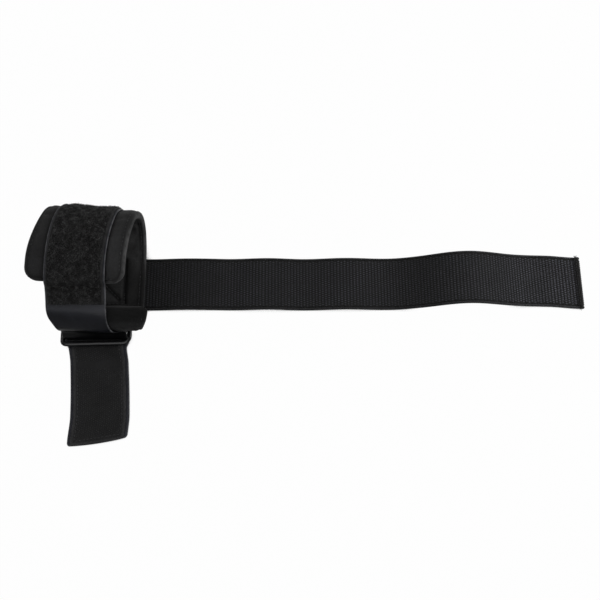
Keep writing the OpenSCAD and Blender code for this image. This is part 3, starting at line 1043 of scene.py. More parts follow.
@dataclass(frozen=True)
class Fibre:
    """Fine plastic or cotton fibres, with a tone that changes from tuft to tuft and painted shade from each
    fibre's crest mark.
    """

    name: str
    deep: Colour
    lit: Colour
    rough: float = 0.6
    shine: float = 0.07
    sheen: float = 0.04

    def material(self, effects: Effects) -> Material:
        """Builds the material from the shared effects and returns it."""
        made, g, shader = new_material(self.name)
        lint = g.place(effects.lint, Scale=8.0, Amount=0.4)
        tone = g.between(lint["Cloud"], 0.35, 0.65, 0.3, 1.0)
        # Each fibre's crest mark scales its tone; on the loop pile that is painted shade, darker in the
        # pile's hollows.
        dyed_and_shaded = g.mix(g.math("MULTIPLY", tone, g.mark("crest")), self.deep, self.lit)
        g.feed(shader, {
            "Base Color": g.mix(lint["Specks"], dyed_and_shaded, DUST),
            "Roughness": g.between(tone, 0.0, 1.0, self.rough, self.rough + 0.15),
            "Sheen Weight": self.sheen,
            "Specular IOR Level": self.shine,
        })
        return made


@dataclass(frozen=True)
class Enamel:
    """Black enamel on steel wire, with scuffs down to a duller coat."""

    name: str = "black enamel"
    coat: Colour = (0.004, 0.004, 0.0045)
    scuff: Colour = (0.012, 0.012, 0.0125)
    shine: float = 0.07
    depth: float = 0.08

    def material(self, effects: Effects) -> Material:
        """Builds the material from the shared effects and returns it."""
        made, g, shader = new_material(self.name)
        lint = g.place(effects.lint, Scale=1.6, Amount=0.6)
        scuffed = g.between(lint["Cloud"], 0.55, 0.75, 0.0, 0.7)
        g.feed(shader, {
            "Base Color": g.mix(scuffed, self.coat, self.scuff),
            "Roughness": g.between(scuffed, 0.0, 0.7, 0.18, 0.35),
            "Specular IOR Level": self.shine,
            "Normal": g.bump(lint["Cloud"], self.depth, 0.4),
        })
        return made


@dataclass(frozen=True)
class FloorFinish:
    """A white floor that keeps the object's shadow, deepest in its narrow gaps.

    Attributes:
        shown: Share of plain white in the open.
        reach: How near the object must be to count as a gap, in millimetres.
    """

    shown: float = 0.985
    reach: float = 7.0

    def material(self) -> Material:
        """Builds the material and returns it."""
        made, g, shader = new_material("white floor")
        g.feed(shader, {"Base Color": (0.2, 0.2, 0.2, 1), "Roughness": 0.9, "Specular IOR Level": 0.0})
        light = g.add("Emission", {"Color": (1, 1, 1, 1), "Strength": 1.0})
        path = g.add("LightPath")
        seen = g.math("MAXIMUM", path.outputs["Is Camera Ray"], path.outputs["Is Glossy Ray"])
        open_ = g.add("AmbientOcclusion", {"Distance": self.reach * MM}, samples=8).outputs["AO"]
        share = g.math("MULTIPLY", seen, g.between(open_, 0.25, 0.62, 0.0, self.shown))
        both = g.add("MixShader", {0: share, 1: shader.outputs[0], 2: light.outputs[0]})
        g.feed(made.node_tree.nodes["Material Output"], {"Surface": both.outputs[0]})
        return made


class Finishes:
    """Every finish of the strap, built once."""

    def __init__(self) -> None:
        """Builds the shared effects and the materials."""
        effects = Effects()
        dark = (0.004, 0.004, 0.0042)
        # Painted shade can take this knit down to a tenth of its colour; its pale edge colour is partly a
        # painted highlight.
        self.jersey = Cloth(
            "knitted cover", dark, (0.0195, 0.0195, 0.02), (0.5, 0.6),
            hollow=0.1, wear=(0.09, 0.09, 0.091),
        ).material(effects)
        self.lining = Cloth(
            "knitted lining", (0.011, 0.011, 0.011), (0.033, 0.033, 0.0335), (0.6, 0.5), hollow=0.15,
        ).material(effects)
        # Its pale edge colour is partly a painted highlight on the strap's rim.
        self.leather = Leather(
            "coated leather", (0.005, 0.0053, 0.0068), (0.0102, 0.0108, 0.0138), shine=0.045,
        ).material(effects)
        self.loop_base = Cloth(
            "loop tape", dark, (0.010, 0.010, 0.010), (0.5, 0.5), hollow=0.3,
        ).material(effects)
        self.pile = Fibre("loop pile", (0.002, 0.002, 0.002), (0.045, 0.045, 0.045)).material(effects)
        self.hook_base = Cloth("hook tape", dark, (0.0215, 0.0215, 0.022), (0.6, 0.6)).material(effects)
        self.hooks = Fibre(
            "hooks", (0.008, 0.008, 0.008), (0.018, 0.018, 0.0185), rough=0.4,
        ).material(effects)
        self.hem = Cloth("hem fold", dark, (0.020, 0.0195, 0.019), (1.0, 0.5)).material(effects)
        self.tape = Cloth("tab tape", dark, (0.009, 0.009, 0.0095), (1.0, 0.5)).material(effects)
        # Painted shade: the webbing's hollows are painted fully dark, its crowns lit.
        self.webbing = Cloth(
            "ribbed webbing", (0.020, 0.0203, 0.0232), (0.046, 0.0475, 0.058), (0.55, 0.28),
            rough=0.36, shine=0.05, hollow=0.0, sharp=2.0,
        ).material(effects)
        self.thread = Fibre(
            "sewing thread", (0.006, 0.006, 0.0065), (0.02, 0.02, 0.021), rough=0.5,
        ).material(effects)
        self.enamel = Enamel().material(effects)
        self.rubber = Leather(
            "grip rubber", (0.006, 0.006, 0.0065), (0.011, 0.011, 0.0115),
            scale=2.0, depth=0.03, rough=(0.5, 0.65), shine=0.3,
        ).material(effects)
        self.ink = Leather(
            "white print", (0.55, 0.55, 0.54), (0.68, 0.68, 0.67),
            scale=2.4, depth=0.03, rough=(0.55, 0.7), shine=0.3, wear=(0.4, 0.4, 0.4),
        ).material(effects)


def finish(piece: Piece, material: Material) -> Piece:
    """Gives a piece its material.

    Args:
        piece: The piece.
        material: Its material.

    Returns:
        The piece.
    """
    piece.data.materials.append(material)
    return piece


def bend_between(piece: Piece, first: str, second: str, start: Vector, end: Vector) -> None:
    """Bakes a piece's transform into its mesh."""
    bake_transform(piece)


# ---- The parts ----


@dataclass
class Layout:
    """The lines that the pad and the closure strap follow, and how far the pieces, as used, stray from them.
    """

    pad: PadSizes = field(default_factory=PadSizes)
    strap: StrapSizes = field(default_factory=StrapSizes)
    tail: TailSizes = field(default_factory=TailSizes)
    # The flap stands higher at its left side: along from the shoulder, and across.
    lean_on: Ramp = Ramp(-24, 18, 3.8)
    lean_short: Pair = (8, 14)
    lean_side: Ramp = Ramp(8, -40)
    # Its left edge is drawn in there, and both edges are drawn in below the front.
    draw_on: Ramp = Ramp(-34, 18, 3.6)
    draw_off: Ramp = Ramp(4, 38)
    draw_side: Ramp = Ramp(-22, -12)
    low_left: tuple[Ramp, Ramp] = (Ramp(3, 14, 5.5), Ramp(-12, -12))
    low_right: tuple[Ramp, Ramp] = (Ramp(8, 16, 1.4), Ramp(26, 9))
    low_off: Ramp = Ramp(36, 20)
    # The front end is turned back at its left side, on the pad and up from the ring's window.
    slew: Ramp = Ramp(12, -36, 0.9)
    slew_off: Ramp = Ramp(26, 16)
    slew_hang: tuple[Ramp, Ramp] = (Ramp(6, 10), Ramp(44, 10))
    # The strap shifts sideways: down to the window, past the bar and at its tip.
    hang_shift: Ramp = Ramp(-34.6, 27)
    hang_squeeze: Ridge = Ridge(-14, 4, 0.5)
    out_shift: Ramp = Ramp(0, 0.2)
    tip_shift: Ramp = Ramp(-18, 18, 1.2)
    # It bulges above the window, draws back within it, is squashed wider there and lies flat again.
    bulge_twist: Ridge = Ridge(30, 9, 0.05)
    bulge: Ridge = Ridge(21.5, 4.5, 1.5)
    bulge_side: Ramp = Ramp(-22, 36, 0.6)
    bulge_in: Ridge = Ridge(10, 5, 2.4)
    squash: Ramp = Ramp(-20, 7, 2.5)
    waist: Ridge = Ridge(-24, 8, 1.2)
    flat_again: Ramp = Ramp(-2, 5, 2.2)

    def __post_init__(self) -> None:
        """Works out the lines from the sizes."""
        p, k, t = self.pad, self.strap, self.tail
        self.flat_y = t.middle - t.width / 2 + p.flat_inset
        base = t.thick + k.seam
        curl = [(p.lower_front, -p.low_turn), (p.front, p.low_turn - 90), (p.upper_front, -p.curl)]
        rise = [(0, p.flat), (p.lower_back, p.low_turn), (p.back, 90 - p.low_turn), (p.back, p.flap_start)]
        over = [(p.back, p.shoulder_turn - p.flap_start), (p.top, 90 - p.shoulder_turn), (p.flap, p.dip)]
        front = Line.walk((self.flat_y, base, 180), curl).backwards()
        back = Line.walk((self.flat_y, base, 0), rise)
        flap = Line.walk(back.station(back.length), over)
        self.skin = Line.join(front, back, flap)
        self.front_length = front.length
        self.bend = front.length + back.length
        self.rise = self.bend - math.radians(p.flap_start) * p.back
        self.fore = math.radians(p.curl) * p.upper_front
        fore_y = float(front.a.min())
        self.rear_bar = (fore_y + k.ring_inset, k.wrap)
        self.front_bar = (self.rear_bar[0] - k.ring_depth + k.wire, k.wrap)
        window = (self.front_bar[0] + k.wrap, k.wrap, 270.0)
        self.hang = self._hang(window)
        self.end = Line.walk(window, [(k.wrap, -90), (0, k.end + k.tip)])
        self.wrap_length = math.radians(90) * k.wrap
        self.strap_start = self.front_length + t.middle + t.width / 2 + 1 - self.flat_y

    def _hang(self, window: Station) -> Line:
        """The inner face of the strap, from the flap's end down to the ring's window."""
        k = self.strap
        tip = self.skin.station(self.skin.length)
        over = Line.walk(Line.of(np.array([tip])).pushed(k.seam).station(0), [(2.0, 50)])
        front = self.skin.cut(0, self.fore).pushed(0.25).turned(360)
        return Line.join(
            over,
            Line.link(over.station(over.length), front.station(0), 5, 4),
            front,
            Line.link(front.station(front.length), window, 6, 6),
        )

    def on_skin(self) -> Track:
        """The pad's skin as a track, on which the flap's left side stands a little higher."""
        return Track(self.skin, Plane.SECTION, self._lean, self._tuck)

    def at_shoulder(self, reach: float = 9.0) -> list[Vector]:
        """Two points half way through the pad, one reach before and one after the flap's shoulder."""
        track = self.on_skin()
        return [track.point(self.bend + d, 0, -self.pad.thick / 2) for d in (-reach, reach)]

    def _lean(self, s: Array, x: Array) -> Array:
        """How much higher the flap stands at its left side than in its frame, less the front's slew."""
        start, short = self.lean_short
        fall = 1 - Ramp(start, self.skin.length - self.bend - short)(s - self.bend)
        higher = self.lean_on(s - self.bend) * fall * self.lean_side(x)
        return higher - self.slew(x) * (1 - self.slew_off(s))

    def _tuck(self, s: Array, x: Array) -> Array:
        """How far the pad's edges are drawn in: the left near the flap's top, both below the front."""
        above = self.draw_on(s - self.bend) * (1 - self.draw_off(s - self.bend)) * self.draw_side(x)
        left, right = (side[0](s) * side[1](x) for side in (self.low_left, self.low_right))
        return above + (1 - self.low_off(s)) * (left - right)

    def pad_middle(self, s: Array) -> Array:
        """Sideways place of the pad at distances along its skin."""
        p = self.pad
        front = p.front_drift * np.maximum(0, 1 - s / self.front_length) ** p.drift_power
        flap = p.flap_drift * np.sin(np.pi / 2 * self._flap_share(s))
        return front + flap

    def strap_middle(self, s: Array) -> Array:
        """Sideways place of the strap on the pad."""
        k = self.strap
        return k.ring_x + (k.over_drift - k.ring_x) * np.sin(np.pi / 2 * self._flap_share(s))

    def _flap_share(self, s: Array) -> Array:
        """How far along the flap a distance lies, from 0 to 1."""
        return np.clip((s - self.rise) / (self.skin.length - self.rise), 0, 1)

    def hang_middle(self, s: Array) -> Array:
        """Sideways place of the free strap between the flap and the ring."""
        k, past = self.strap, s - self.hang.length
        aside = (k.ring_x + k.lean - k.over_drift) * self.hang_shift(past)
        return k.over_drift + aside + self.hang_squeeze(past)

    def end_middle(self, s: Array) -> Array:
        """Sideways place of the strap's end past the ring."""
        k = self.strap
        share = np.clip((s - self.wrap_length) / (k.end + k.tip), 0, 1)
        out = (k.tip_drift - k.ring_x - k.lean) * np.sin(np.pi / 2 * share)
        return k.ring_x + k.lean + out + self.out_shift(share) - self.tip_shift(s - self.end.length)

    def on_hang(self) -> Track:
        """The free strap's inner face as a track, which bulges out just above the ring."""
        return Track(self.hang, Plane.SECTION, self._bulge)

    def _bulge(self, s: Array, x: Array) -> Array:
        """How far the strap bulges above the ring and draws back within it."""
        up = self.hang.length - s
        start, stop = self.slew_hang
        twist = self.bulge_twist(up) * np.clip(x + 4, -22, 22)
        swell = self.bulge(up) * (1 - self.bulge_side.height + self.bulge_side(x))
        return swell - self.slew(x) * start(up) * (1 - stop(up)) - self.bulge_in(up) + twist

    def flare(self, s: Array) -> Array:
        """How much wider than its flat half the strap is squashed where it passes the ring."""
        return self.squash(s - self.hang.length) - self.waist(s - self.hang.length)

    def flare_out(self, s: Array) -> Array:
        """The same past the ring, where the strap lies flat again."""
        return self.squash.height - self.flat_again(s - self.wrap_length)


@dataclass
class Pad:
    """The curled pad: cover, foam and lining, quilted along a stitched rim."""

    layout: Layout
    finishes: Finishes
    stitch_in: float = 3.2
    groove: float = 0.55
    groove_width: float = 0.9
    rounding: float = 2.7
    turned: float = 2.6
    past_flat: float = 6.0
    fuller: float = 1.4
    longer: float = 1.4
    fore: float = 1.5
    slant: float = 0.045
    # Grooves that the seams of the strap and of the tail's box pull in.
    seam_groove: Ridge = Ridge(0.1, 0.8, 0.9)
    seam_start: Ramp = Ramp(-2, 3)
    box_groove: Ridge = Ridge(0, 1.1, 1.2)
    # Painted shade on the knit: darkest at the front lip, least along its right side, more again inside the
    # tube's mouth and over the fold.
    least: float = 0.03
    lip: Ramp = Ramp(8, 4, 0.6)
    lip_right: tuple[Ramp, Ramp] = (Ramp(9, 6, 0.37), Ramp(16, 10))
    mouth: tuple[Ramp, Ramp] = (Ramp(19, 4, 0.72), Ramp(14, 32))
    fold: Ridge = Ridge(10, 14, 0.45)
    fold_side: Ramp = Ramp(-26, 16, 0.6)
    # The cloth simulation: reach of its held seams, forces, frames, and how far each face may move.
    held: float = 0.4
    stiffness: float = 12.0
    bending: float = 0.4
    shrink: float = -0.03
    pressure: float = 3.0
    frames: int = 20
    caps: Pair = (0.6, 1.3)

    def build(self) -> list[Piece]:
        """Builds the pad's two lengths and their rim stitches.

        Returns:
            The pieces made.
        """
        lay, p = self.layout, self.layout.pad
        split = lay.front_length + p.flat + self.past_flat
        track, far = lay.on_skin(), lay.skin.length + self.longer
        front = self._length("pad_front", -self.fore, split, (p.corner - 1.5, 0), (True, False), 0)
        back = self._length("pad_back", split, far, (0, p.corner + 2.5), (False, True), self.slant)
        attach(front, "cuff")
        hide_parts("cuff_cover", "cuff_foam", "cuff_lining")
        bend = lay.at_shoulder()
        bend_between(back, "cuff", "flap", *bend)
        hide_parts("flap_cover", "flap_foam", "flap_lining")
        pieces = [front, back]
        sunk = self.groove - 0.15
        for name, height in (("cover", -sunk), ("lining", sunk - p.thick)):
            for part in ("front", "back"):
                rows = self._rows(name, part, split, far)
                rim = Stitching(f"rim_thread_{name}_{part}", track, rows, height, lay.pad_middle).build()
                finish(rim, self.finishes.thread)
                if part == "front":
                    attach(rim, "cuff")
                else:
                    bend_between(rim, "cuff", "flap", *bend)
                pieces.append(rim)
        return pieces

    def _rows(self, name: str, part: str, split: float, far: float) -> list[list[Pair]]:
        """The stitches round one length as places (s, x): on the cover's front only its sides."""
        edge, cut = self.layout.pad.width / 2 + self.fuller - self.stitch_in, self.layout.pad.corner * 0.6
        high, low = edge - cut, self.stitch_in + cut
        if part == "front":
            lead, turn = self.stitch_in - self.fore, low - self.fore
            row = [(split - 1, -edge), (turn, -edge), (lead, -high)]
            row += [(s, -x) for s, x in row[::-1]]
            return [row[:2], row[-2:]] if name == "cover" else [row]
        left, right = far - self.slant * edge, far + self.slant * edge
        end = [(left - low, -edge), (left - self.stitch_in, -high), (right - self.stitch_in, high)]
        return [[(split + 1, -edge), *end, (right - low, edge), (split + 1, edge)]]

    def _length(
        self, name: str, start: float, end: float, corners: Pair, soft: tuple[bool, bool], skew: float,
    ) -> Piece:
        """Builds one length of the pad and puffs it between its stitches.

        Args:
            name: Name of the piece.
            start: Where it starts.
            end: Where it ends.
            corners: Corner radius at its start and end.
            soft: Whether its start and end are rounded.
            skew: How far its end leans along for each millimetre across.

        Returns:
            The piece.
        """
        lay, p = self.layout, self.layout.pad
        quilted = Ridge(self.stitch_in, self.groove_width, self.groove)
        band = Band(
            name, lay.on_skin(), start, end, -p.thick, 0, p.width / 2 + self.fuller, lay.pad_middle,
            step=1.7, pitch=1.5, edge=self.rounding, corners=corners, soft=soft, skew=skew,
            top=lambda s, x, rim: -quilted(rim) - self._strap_groove(s, x),
            base=lambda s, x, rim: quilted(rim) + self._box_groove(s, x),
            worn=self.fading, sunk=0.6,
        )
        piece = band.build()
        piece.data.materials.append(self.finishes.jersey)
        piece.data.materials.append(self.finishes.lining)
        count = band.shape[0] * band.shape[1]
        faces = np.zeros(len(piece.data.polygons) * 4, np.int32)
        piece.data.polygons.foreach_get("vertices", faces)
        rim = np.tile(band.rim.ravel(), 2)[faces.reshape(-1, 4)].min(1)
        inner = (faces.reshape(-1, 4) >= count).all(1) & (rim > self.turned)
        piece.data.polygons.foreach_set("material_index", inner.astype(np.int32))
        self._puff(piece, band)
        return piece

    def fading(self, s: Array, x: Array) -> Array:
        """Painted shade on the knit, as the share of colour kept: least at the front end, inside the tube's
        mouth and over the fold.
        """
        lay = self.layout
        lip = self.least + self.lip(s) + self.lip_right[0](s) * self.lip_right[1](x)
        mouth = 1 - self.mouth[0](x) * (1 - self.mouth[1](s - lay.front_length))
        fold = 1 - self.fold(s - lay.bend) * (1 - self.fold_side.height + self.fold_side(x))
        return np.maximum(self.least, lip * fold * np.where(s > lay.fore, mouth, 1))

    def _strap_groove(self, s: Array, x: Array) -> Array:
        """Depth of the grooves that the strap's seams pull into the cover."""
        lay = self.layout
        side = np.abs(x + lay.pad_middle(s) - lay.strap_middle(s)) - lay.strap.width / 2
        return self.seam_groove(side) * self.seam_start(s - lay.strap_start)

    def _box_groove(self, s: Array, x: Array) -> Array:
        """Depth of the grooves that the tail's sewn box pulls into the lining."""
        box = SewnBox(self.layout, self.finishes)
        depth = np.zeros_like(s)
        for first, last in box.rows():
            one, two = np.array(first), np.array(last)
            along = (two - one) / np.linalg.norm(two - one)
            offset = np.stack([s - one[0], x - one[1]], -1)
            run = np.clip(offset @ along, 0, np.linalg.norm(two - one))
            distance = np.linalg.norm(offset - run[..., None] * along, axis=-1)
            depth = np.maximum(depth, self.box_groove(distance))
        return depth

    def _puff(self, piece: Piece, band: Band) -> None:
        """Lets the cover and the lining swell and wrinkle between their seams, by cloth simulation.

        Args:
            piece: The piece to swell.
            band: The band that it was made from.
        """
        lay, k = self.layout, self.layout.strap
        s, x = band.s, band.x
        rim = band.rim < self.stitch_in + self.held
        strap = (np.abs(x - lay.strap_middle(s)) < k.width / 2 + 1) & (s > lay.strap_start - 3)
        under = (s > lay.front_length - 14) & (s < lay.front_length + lay.pad.flat + 6)
        ends = (s - band.start < 2) & (band.start > 0) | (band.end - s < 2) & (not band.soft[1])
        held = np.concatenate([(rim | strap | under | ends).ravel(), (rim | ends).ravel()])
        group = piece.vertex_groups.new(name="seams")
        group.add(np.flatnonzero(held).tolist(), 1.0, "REPLACE")
        rest = read_points(piece.data)
        cloth = piece.modifiers.new("swell", "CLOTH")
        cloth.settings.quality = 5
        cloth.settings.tension_stiffness = cloth.settings.compression_stiffness = self.stiffness
        cloth.settings.bending_stiffness = self.bending
        cloth.settings.shrink_min = self.shrink
        cloth.settings.use_pressure = True
        cloth.settings.uniform_pressure_force = self.pressure
        cloth.settings.vertex_group_mass = "seams"
        cloth.settings.effector_weights.gravity = 0
        cloth.collision_settings.use_self_collision = False
        cloth.collision_settings.use_collision = False
        scene = bpy.context.scene
        for frame in range(1, self.frames + 1):
            scene.frame_set(frame)
        dressed = piece.evaluated_get(bpy.context.evaluated_depsgraph_get())
        moved = read_points(dressed.data) - rest
        cap = np.repeat(self.caps, rim.size) * MM
        size = np.linalg.norm(moved, axis=1)
        moved *= (cap * np.tanh(size / cap) / np.maximum(size, 1e-9))[:, None]
        moved[held] = 0
        piece.modifiers.remove(cloth)
        scene.frame_set(1)
        piece.data.vertices.foreach_set("co", (rest + moved).astype(np.float32).ravel())
        piece.data.update()


def read_points(mesh: bpy.types.Mesh) -> Array:
    """The points of a mesh, in metres."""
    points = np.zeros(len(mesh.vertices) * 3, np.float32)
    mesh.vertices.foreach_get("co", points)
    return points.reshape(-1, 3).astype(float)


@dataclass
class LoopTape:
    """A stretch of loop tape: a woven base with raised selvedges and a bed of pile."""

    layout: Layout
    finishes: Finishes
    ends: tuple[bool, bool]
    selvedge: float = 1.7
    thin_left: float = 2.6
    base_thick: float = 0.7
    bed: float = 0.55
    density: float = 2.3

    def bare(self, s: Array, x: Array) -> Array:
        """How far in from its edge the tape has no pile: more at the left, where the flap turns over."""
        return self.selvedge + self.thin_left * ridge(s, self.layout.bend - 8, 9) * (x < 0)

    def top(self, s: Array, x: Array, rim: Array) -> Array:
        """Height that the selvedges and the bed of pile add to the base."""
        side = self.layout.strap.loop_width / 2 - np.abs(x)
        lumps = 0.6 * soft_noise(s, x, 1.9, 4) + 0.25 * soft_noise(s, x, 1.0, 5)
        bed = eased((side - self.bare(s, x) + 0.2) / 1.0) * eased(rim / 1.2) * (self.bed + lumps)
        return bed + 0.5 * ridge(side, 0.85, 0.45) * eased(rim / 0.5)

    def build(
        self, name: str, track: Track, start: float, end: float, low: float, middle: Across,
    ) -> list[Piece]:
        """Builds the tape and its fibres.

        Args:
            name: Name of the tape.
            track: What it lies on.
            start: Where it starts.
            end: Where it ends.
            low: Height of its underside.
            middle: Its middle across the track.

        Returns:
            The tape and its pile.
        """
        half = self.layout.strap.loop_width / 2
        band = Band(
            name, track, start, end, low, low + self.base_thick, half, middle,
            step=0.75, pitch=0.75, edge=0.3, soft=self.ends, top=self.top,
        )
        tape = finish(band.build(), self.finishes.loop_base)
        random = np.random.default_rng(len(name) + 11)
        field_half = half - self.selvedge
        count = int((end - start) * 2 * field_half * self.density)
        along, across = random.uniform(start, end, count), random.uniform(-1, 1, count) * field_half
        kept = half - np.abs(across) > self.bare(along, across)
        spots = np.column_stack([along, across])[kept]
        count = len(spots)
        rim = half - np.abs(spots[:, 1])
        rim = np.minimum(rim, spots[:, 0] - start) if self.ends[0] else rim
        rim = np.minimum(rim, end - spots[:, 0]) if self.ends[1] else rim
        feet = low + self.base_thick + self.top(spots[:, 0], spots[:, 1], rim) - 0.25
        clump = soft_noise(spots[:, 0], spots[:, 1], 3.5, 8)
        tall = 0.75 + 0.35 * clump + random.uniform(0, 0.5, count)
        lean = 2.5 * soft_noise(spots[:, 0], spots[:, 1], 6.0, 9) + random.normal(0, 1.1, count)
        shape = np.array([[0, 0], [0.12, 0.45], [0.42, 0.9], [0.8, 0.85], [1.0, 0.35]])
        # Painted shade: the fibres follow the same noise as the pile's lumps, so those in its hollows are
        # darker and those on its lumps paler.
        pale = eased(0.5 + 0.7 * soft_noise(spots[:, 0], spots[:, 1], 1.9, 4))
        pale = np.clip(pale + random.normal(0, 0.15, count), 0, 1)
        spots[:, 1] += middle(spots[:, 0])
        pile = Tufts(f"{name}_pile", track, spots, feet, shape, tall, lean, pale, 0.17, 0.14, 3).build()
        finish(pile, self.finishes.pile)
        return [tape, pile]


@dataclass
class ClosureStrap:
    """The leather-like closure strap with its loop and hook tapes."""

    layout: Layout
    finishes: Finishes
    seam_in: float = 2.0
    skew: float = -0.15
    bow: float = 0.0028
    tape_thick: float = 0.45

    def edge(self, s: Array, x: Array, rim: Array) -> Array:
        """A turned edge: a sewn groove just inside a full rim."""
        return 0.1 * ridge(rim, 1.0, 0.6) - 0.22 * ridge(rim, self.seam_in, 0.35)

    def shelter(self, s: Array, x: Array) -> Array:
        """Painted shade on the free strap, as the share of colour kept: little is kept where it turns in to
        the ring below its bulge.
        """
        return 1 - 0.85 * eased((s - self.layout.hang.length + 26 - 0.1 * (x + 20)) / 3.0)

    def build(self) -> list[Piece]:
        """Builds the strap in its four lengths, with the tapes on them, and returns the pieces."""
        return [*self._over(), *self._hang(), *self._end()]

    def _strip(self, name: str, track: Track, start: float, end: float, low: float, middle: Across,
               **more: object) -> Piece:
        """Builds one length of the leather-like strip.

        Args:
            name: Name of the piece.
            track: What it lies on.
            start: Where it starts.
            end: Where it ends.
            low: Height of its inner face.
            middle: Its middle across the track.
            more: Other values of its band.

        Returns:
            The piece.
        """
        k = self.layout.strap
        band = Band(name, track, start, end, low, low + k.thick, k.width / 2, middle,
                    step=1.2, pitch=1.2, edge=0.5, top=self.edge, sunk=0.0, **more)
        return finish(band.build(), self.finishes.leather)

    def _over(self) -> list[Piece]:
        """The strap up the back and over the flap."""
        lay, k = self.layout, self.layout.strap
        track = lay.on_skin()
        strip = self._strip("strap_over", track, lay.strap_start, lay.skin.length, k.seam,
                            lay.strap_middle, soft=(True, False))
        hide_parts("back_strap", "top_strap")
        low = 2 * k.seam + k.thick
        loops = LoopTape(lay, self.finishes, (True, False)).build(
            "loop_over", track, lay.bend - k.loop_back, lay.skin.length, low, lay.strap_middle)
        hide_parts("back_loop", "top_loop")
        for piece in (strip, *loops):
            bend_between(piece, "cuff", "flap", *lay.at_shoulder())
        return [strip, *loops]

    def _hang(self) -> list[Piece]:
        """The free strap from the flap down to the ring."""
        lay, k = self.layout, self.layout.strap
        track = lay.on_hang()
        strip = self._strip("strap_front", track, 0, lay.hang.length, 0, lay.hang_middle,
                            soft=(False, False), flare=lay.flare, worn=self.shelter)
        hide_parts("front_strap")
        loops = LoopTape(lay, self.finishes, (False, True)).build(
            "loop_front", track, 0, k.loop_front, k.thick + k.seam, lay.hang_middle)
        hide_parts("front_loop")
        low, high = track.point(lay.hang.length - 12, 0, 0), track.point(1, 0, 0)
        for piece in (strip, *loops):
            bend_between(piece, "cuff", "flap", low, high)
        return [strip, *loops]

    def _end(self) -> list[Piece]:
        """The strap round the ring's bar and out along the table, with its hook tape."""
        lay, k = self.layout, self.layout.strap
        track = Track(lay.end, Plane.SECTION)
        fold = lay.wrap_length + k.end
        tip = lay.end.length + 1.3
        split = lay.wrap_length + k.end / 2
        wrap = [track.point(s, k.ring_x, 0) for s in (1.0, lay.wrap_length)]
        fold_at = [track.point(fold + d, k.ring_x, k.thick) for d in (-6, 6)]
        pieces = []
        runs = (
            ("near", 0.0, split, (False, False), 0.0, "cuff", "strap_end", wrap),
            ("far", split, tip, (False, True), self.skew, "strap_end", "strap_tip", fold_at),
        )
        nodes = {"near": ("strap_end", "strap_end_hook"), "far": ("strap_tip", "strap_tip_hook")}
        for word, start, end, soft, skew, first, second, where in runs:
            corners = (0.0, 2.0 if soft[1] else 0.0)
            bow = self.bow if soft[1] else 0.0
            strip = self._strip(f"strap_{word}", track, start, end, 0, lay.end_middle,
                                soft=soft, skew=skew, bow=bow, corners=corners, flare=lay.flare_out)
            low = k.thick + k.seam
            band = Band(
                f"hook_tape_{word}", track, start, end, low, low + self.tape_thick, k.hook_width / 2,
                lay.end_middle,
                step=1.2, pitch=1.2, edge=0.2, soft=soft, skew=skew * 0.9, bow=bow, corners=corners,
                top=lambda s, x, rim: 0.12 * ridge(rim, 0.9, 0.5) - 0.15 * ridge(rim, 2.9, 0.3),
            )
            tape = finish(band.build(), self.finishes.hook_base)
            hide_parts(nodes[word][0])
            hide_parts(nodes[word][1])
            hooks, threads = self._hooks(word, band), self._seams(word, band)
            for piece in (strip, tape, hooks, threads):
                bend_between(piece, first, second, *where)
                pieces.append(piece)
        return pieces

    def _hooks(self, word: str, tape: Band) -> Piece:
        """Rows of small hooks between the tape's seams.

        Args:
            word: Which length of strap.
            tape: The tape that they stand on.

        Returns:
            The hooks as one piece.
        """
        spots = staggered((tape.start + 1, tape.end - 5), (-14.25, 14.3), 1.5)
        spots = spots[spots[:, 0] < tape.end - 5 + self.skew * spots[:, 1]]
        random = np.random.default_rng(21)
        spots = spots + random.normal(0, 0.08, spots.shape)
        shape = np.array([[0, 0], [-0.1, 0.55], [0.15, 1.0], [0.55, 0.85], [0.6, 0.5]])
        count = len(spots)
        tall = np.full(count, self.layout.strap.hook_thick - self.tape_thick) + random.uniform(0, 0.1, count)
        lean = np.where(random.random(count) < 0.5, 0.0, math.pi) + random.normal(0, 0.2, count)
        spots[:, 1] += self.layout.end_middle(spots[:, 0])
        hooks = Tufts(
            f"hooks_{word}", tape.track, spots, np.full(count, tape.high - 0.05), shape, tall, lean,
            thick=0.2, bend=0.03, seed=5,
        )
        return finish(hooks.build(), self.finishes.hooks)

    def _seams(self, word: str, tape: Band) -> Piece:
        """The stitches that hold the hook tape.

        Args:
            word: Which length of strap.
            tape: The tape.

        Returns:
            The stitches as one piece.
        """
        side, end = tape.half - 2.9, tape.end - 4
        rows = [[(tape.start + 0.5, x), (end + self.skew * x * (word == "far"), x)] for x in (-side, side)]
        if word == "far":
            rows.append([(end - self.skew * side, -side), (end + self.skew * side, side)])
        seams = Stitching(f"hook_thread_{word}", tape.track, rows, tape.high - 0.03, tape.middle, 2.6)
        return finish(seams.build(), self.finishes.thread)


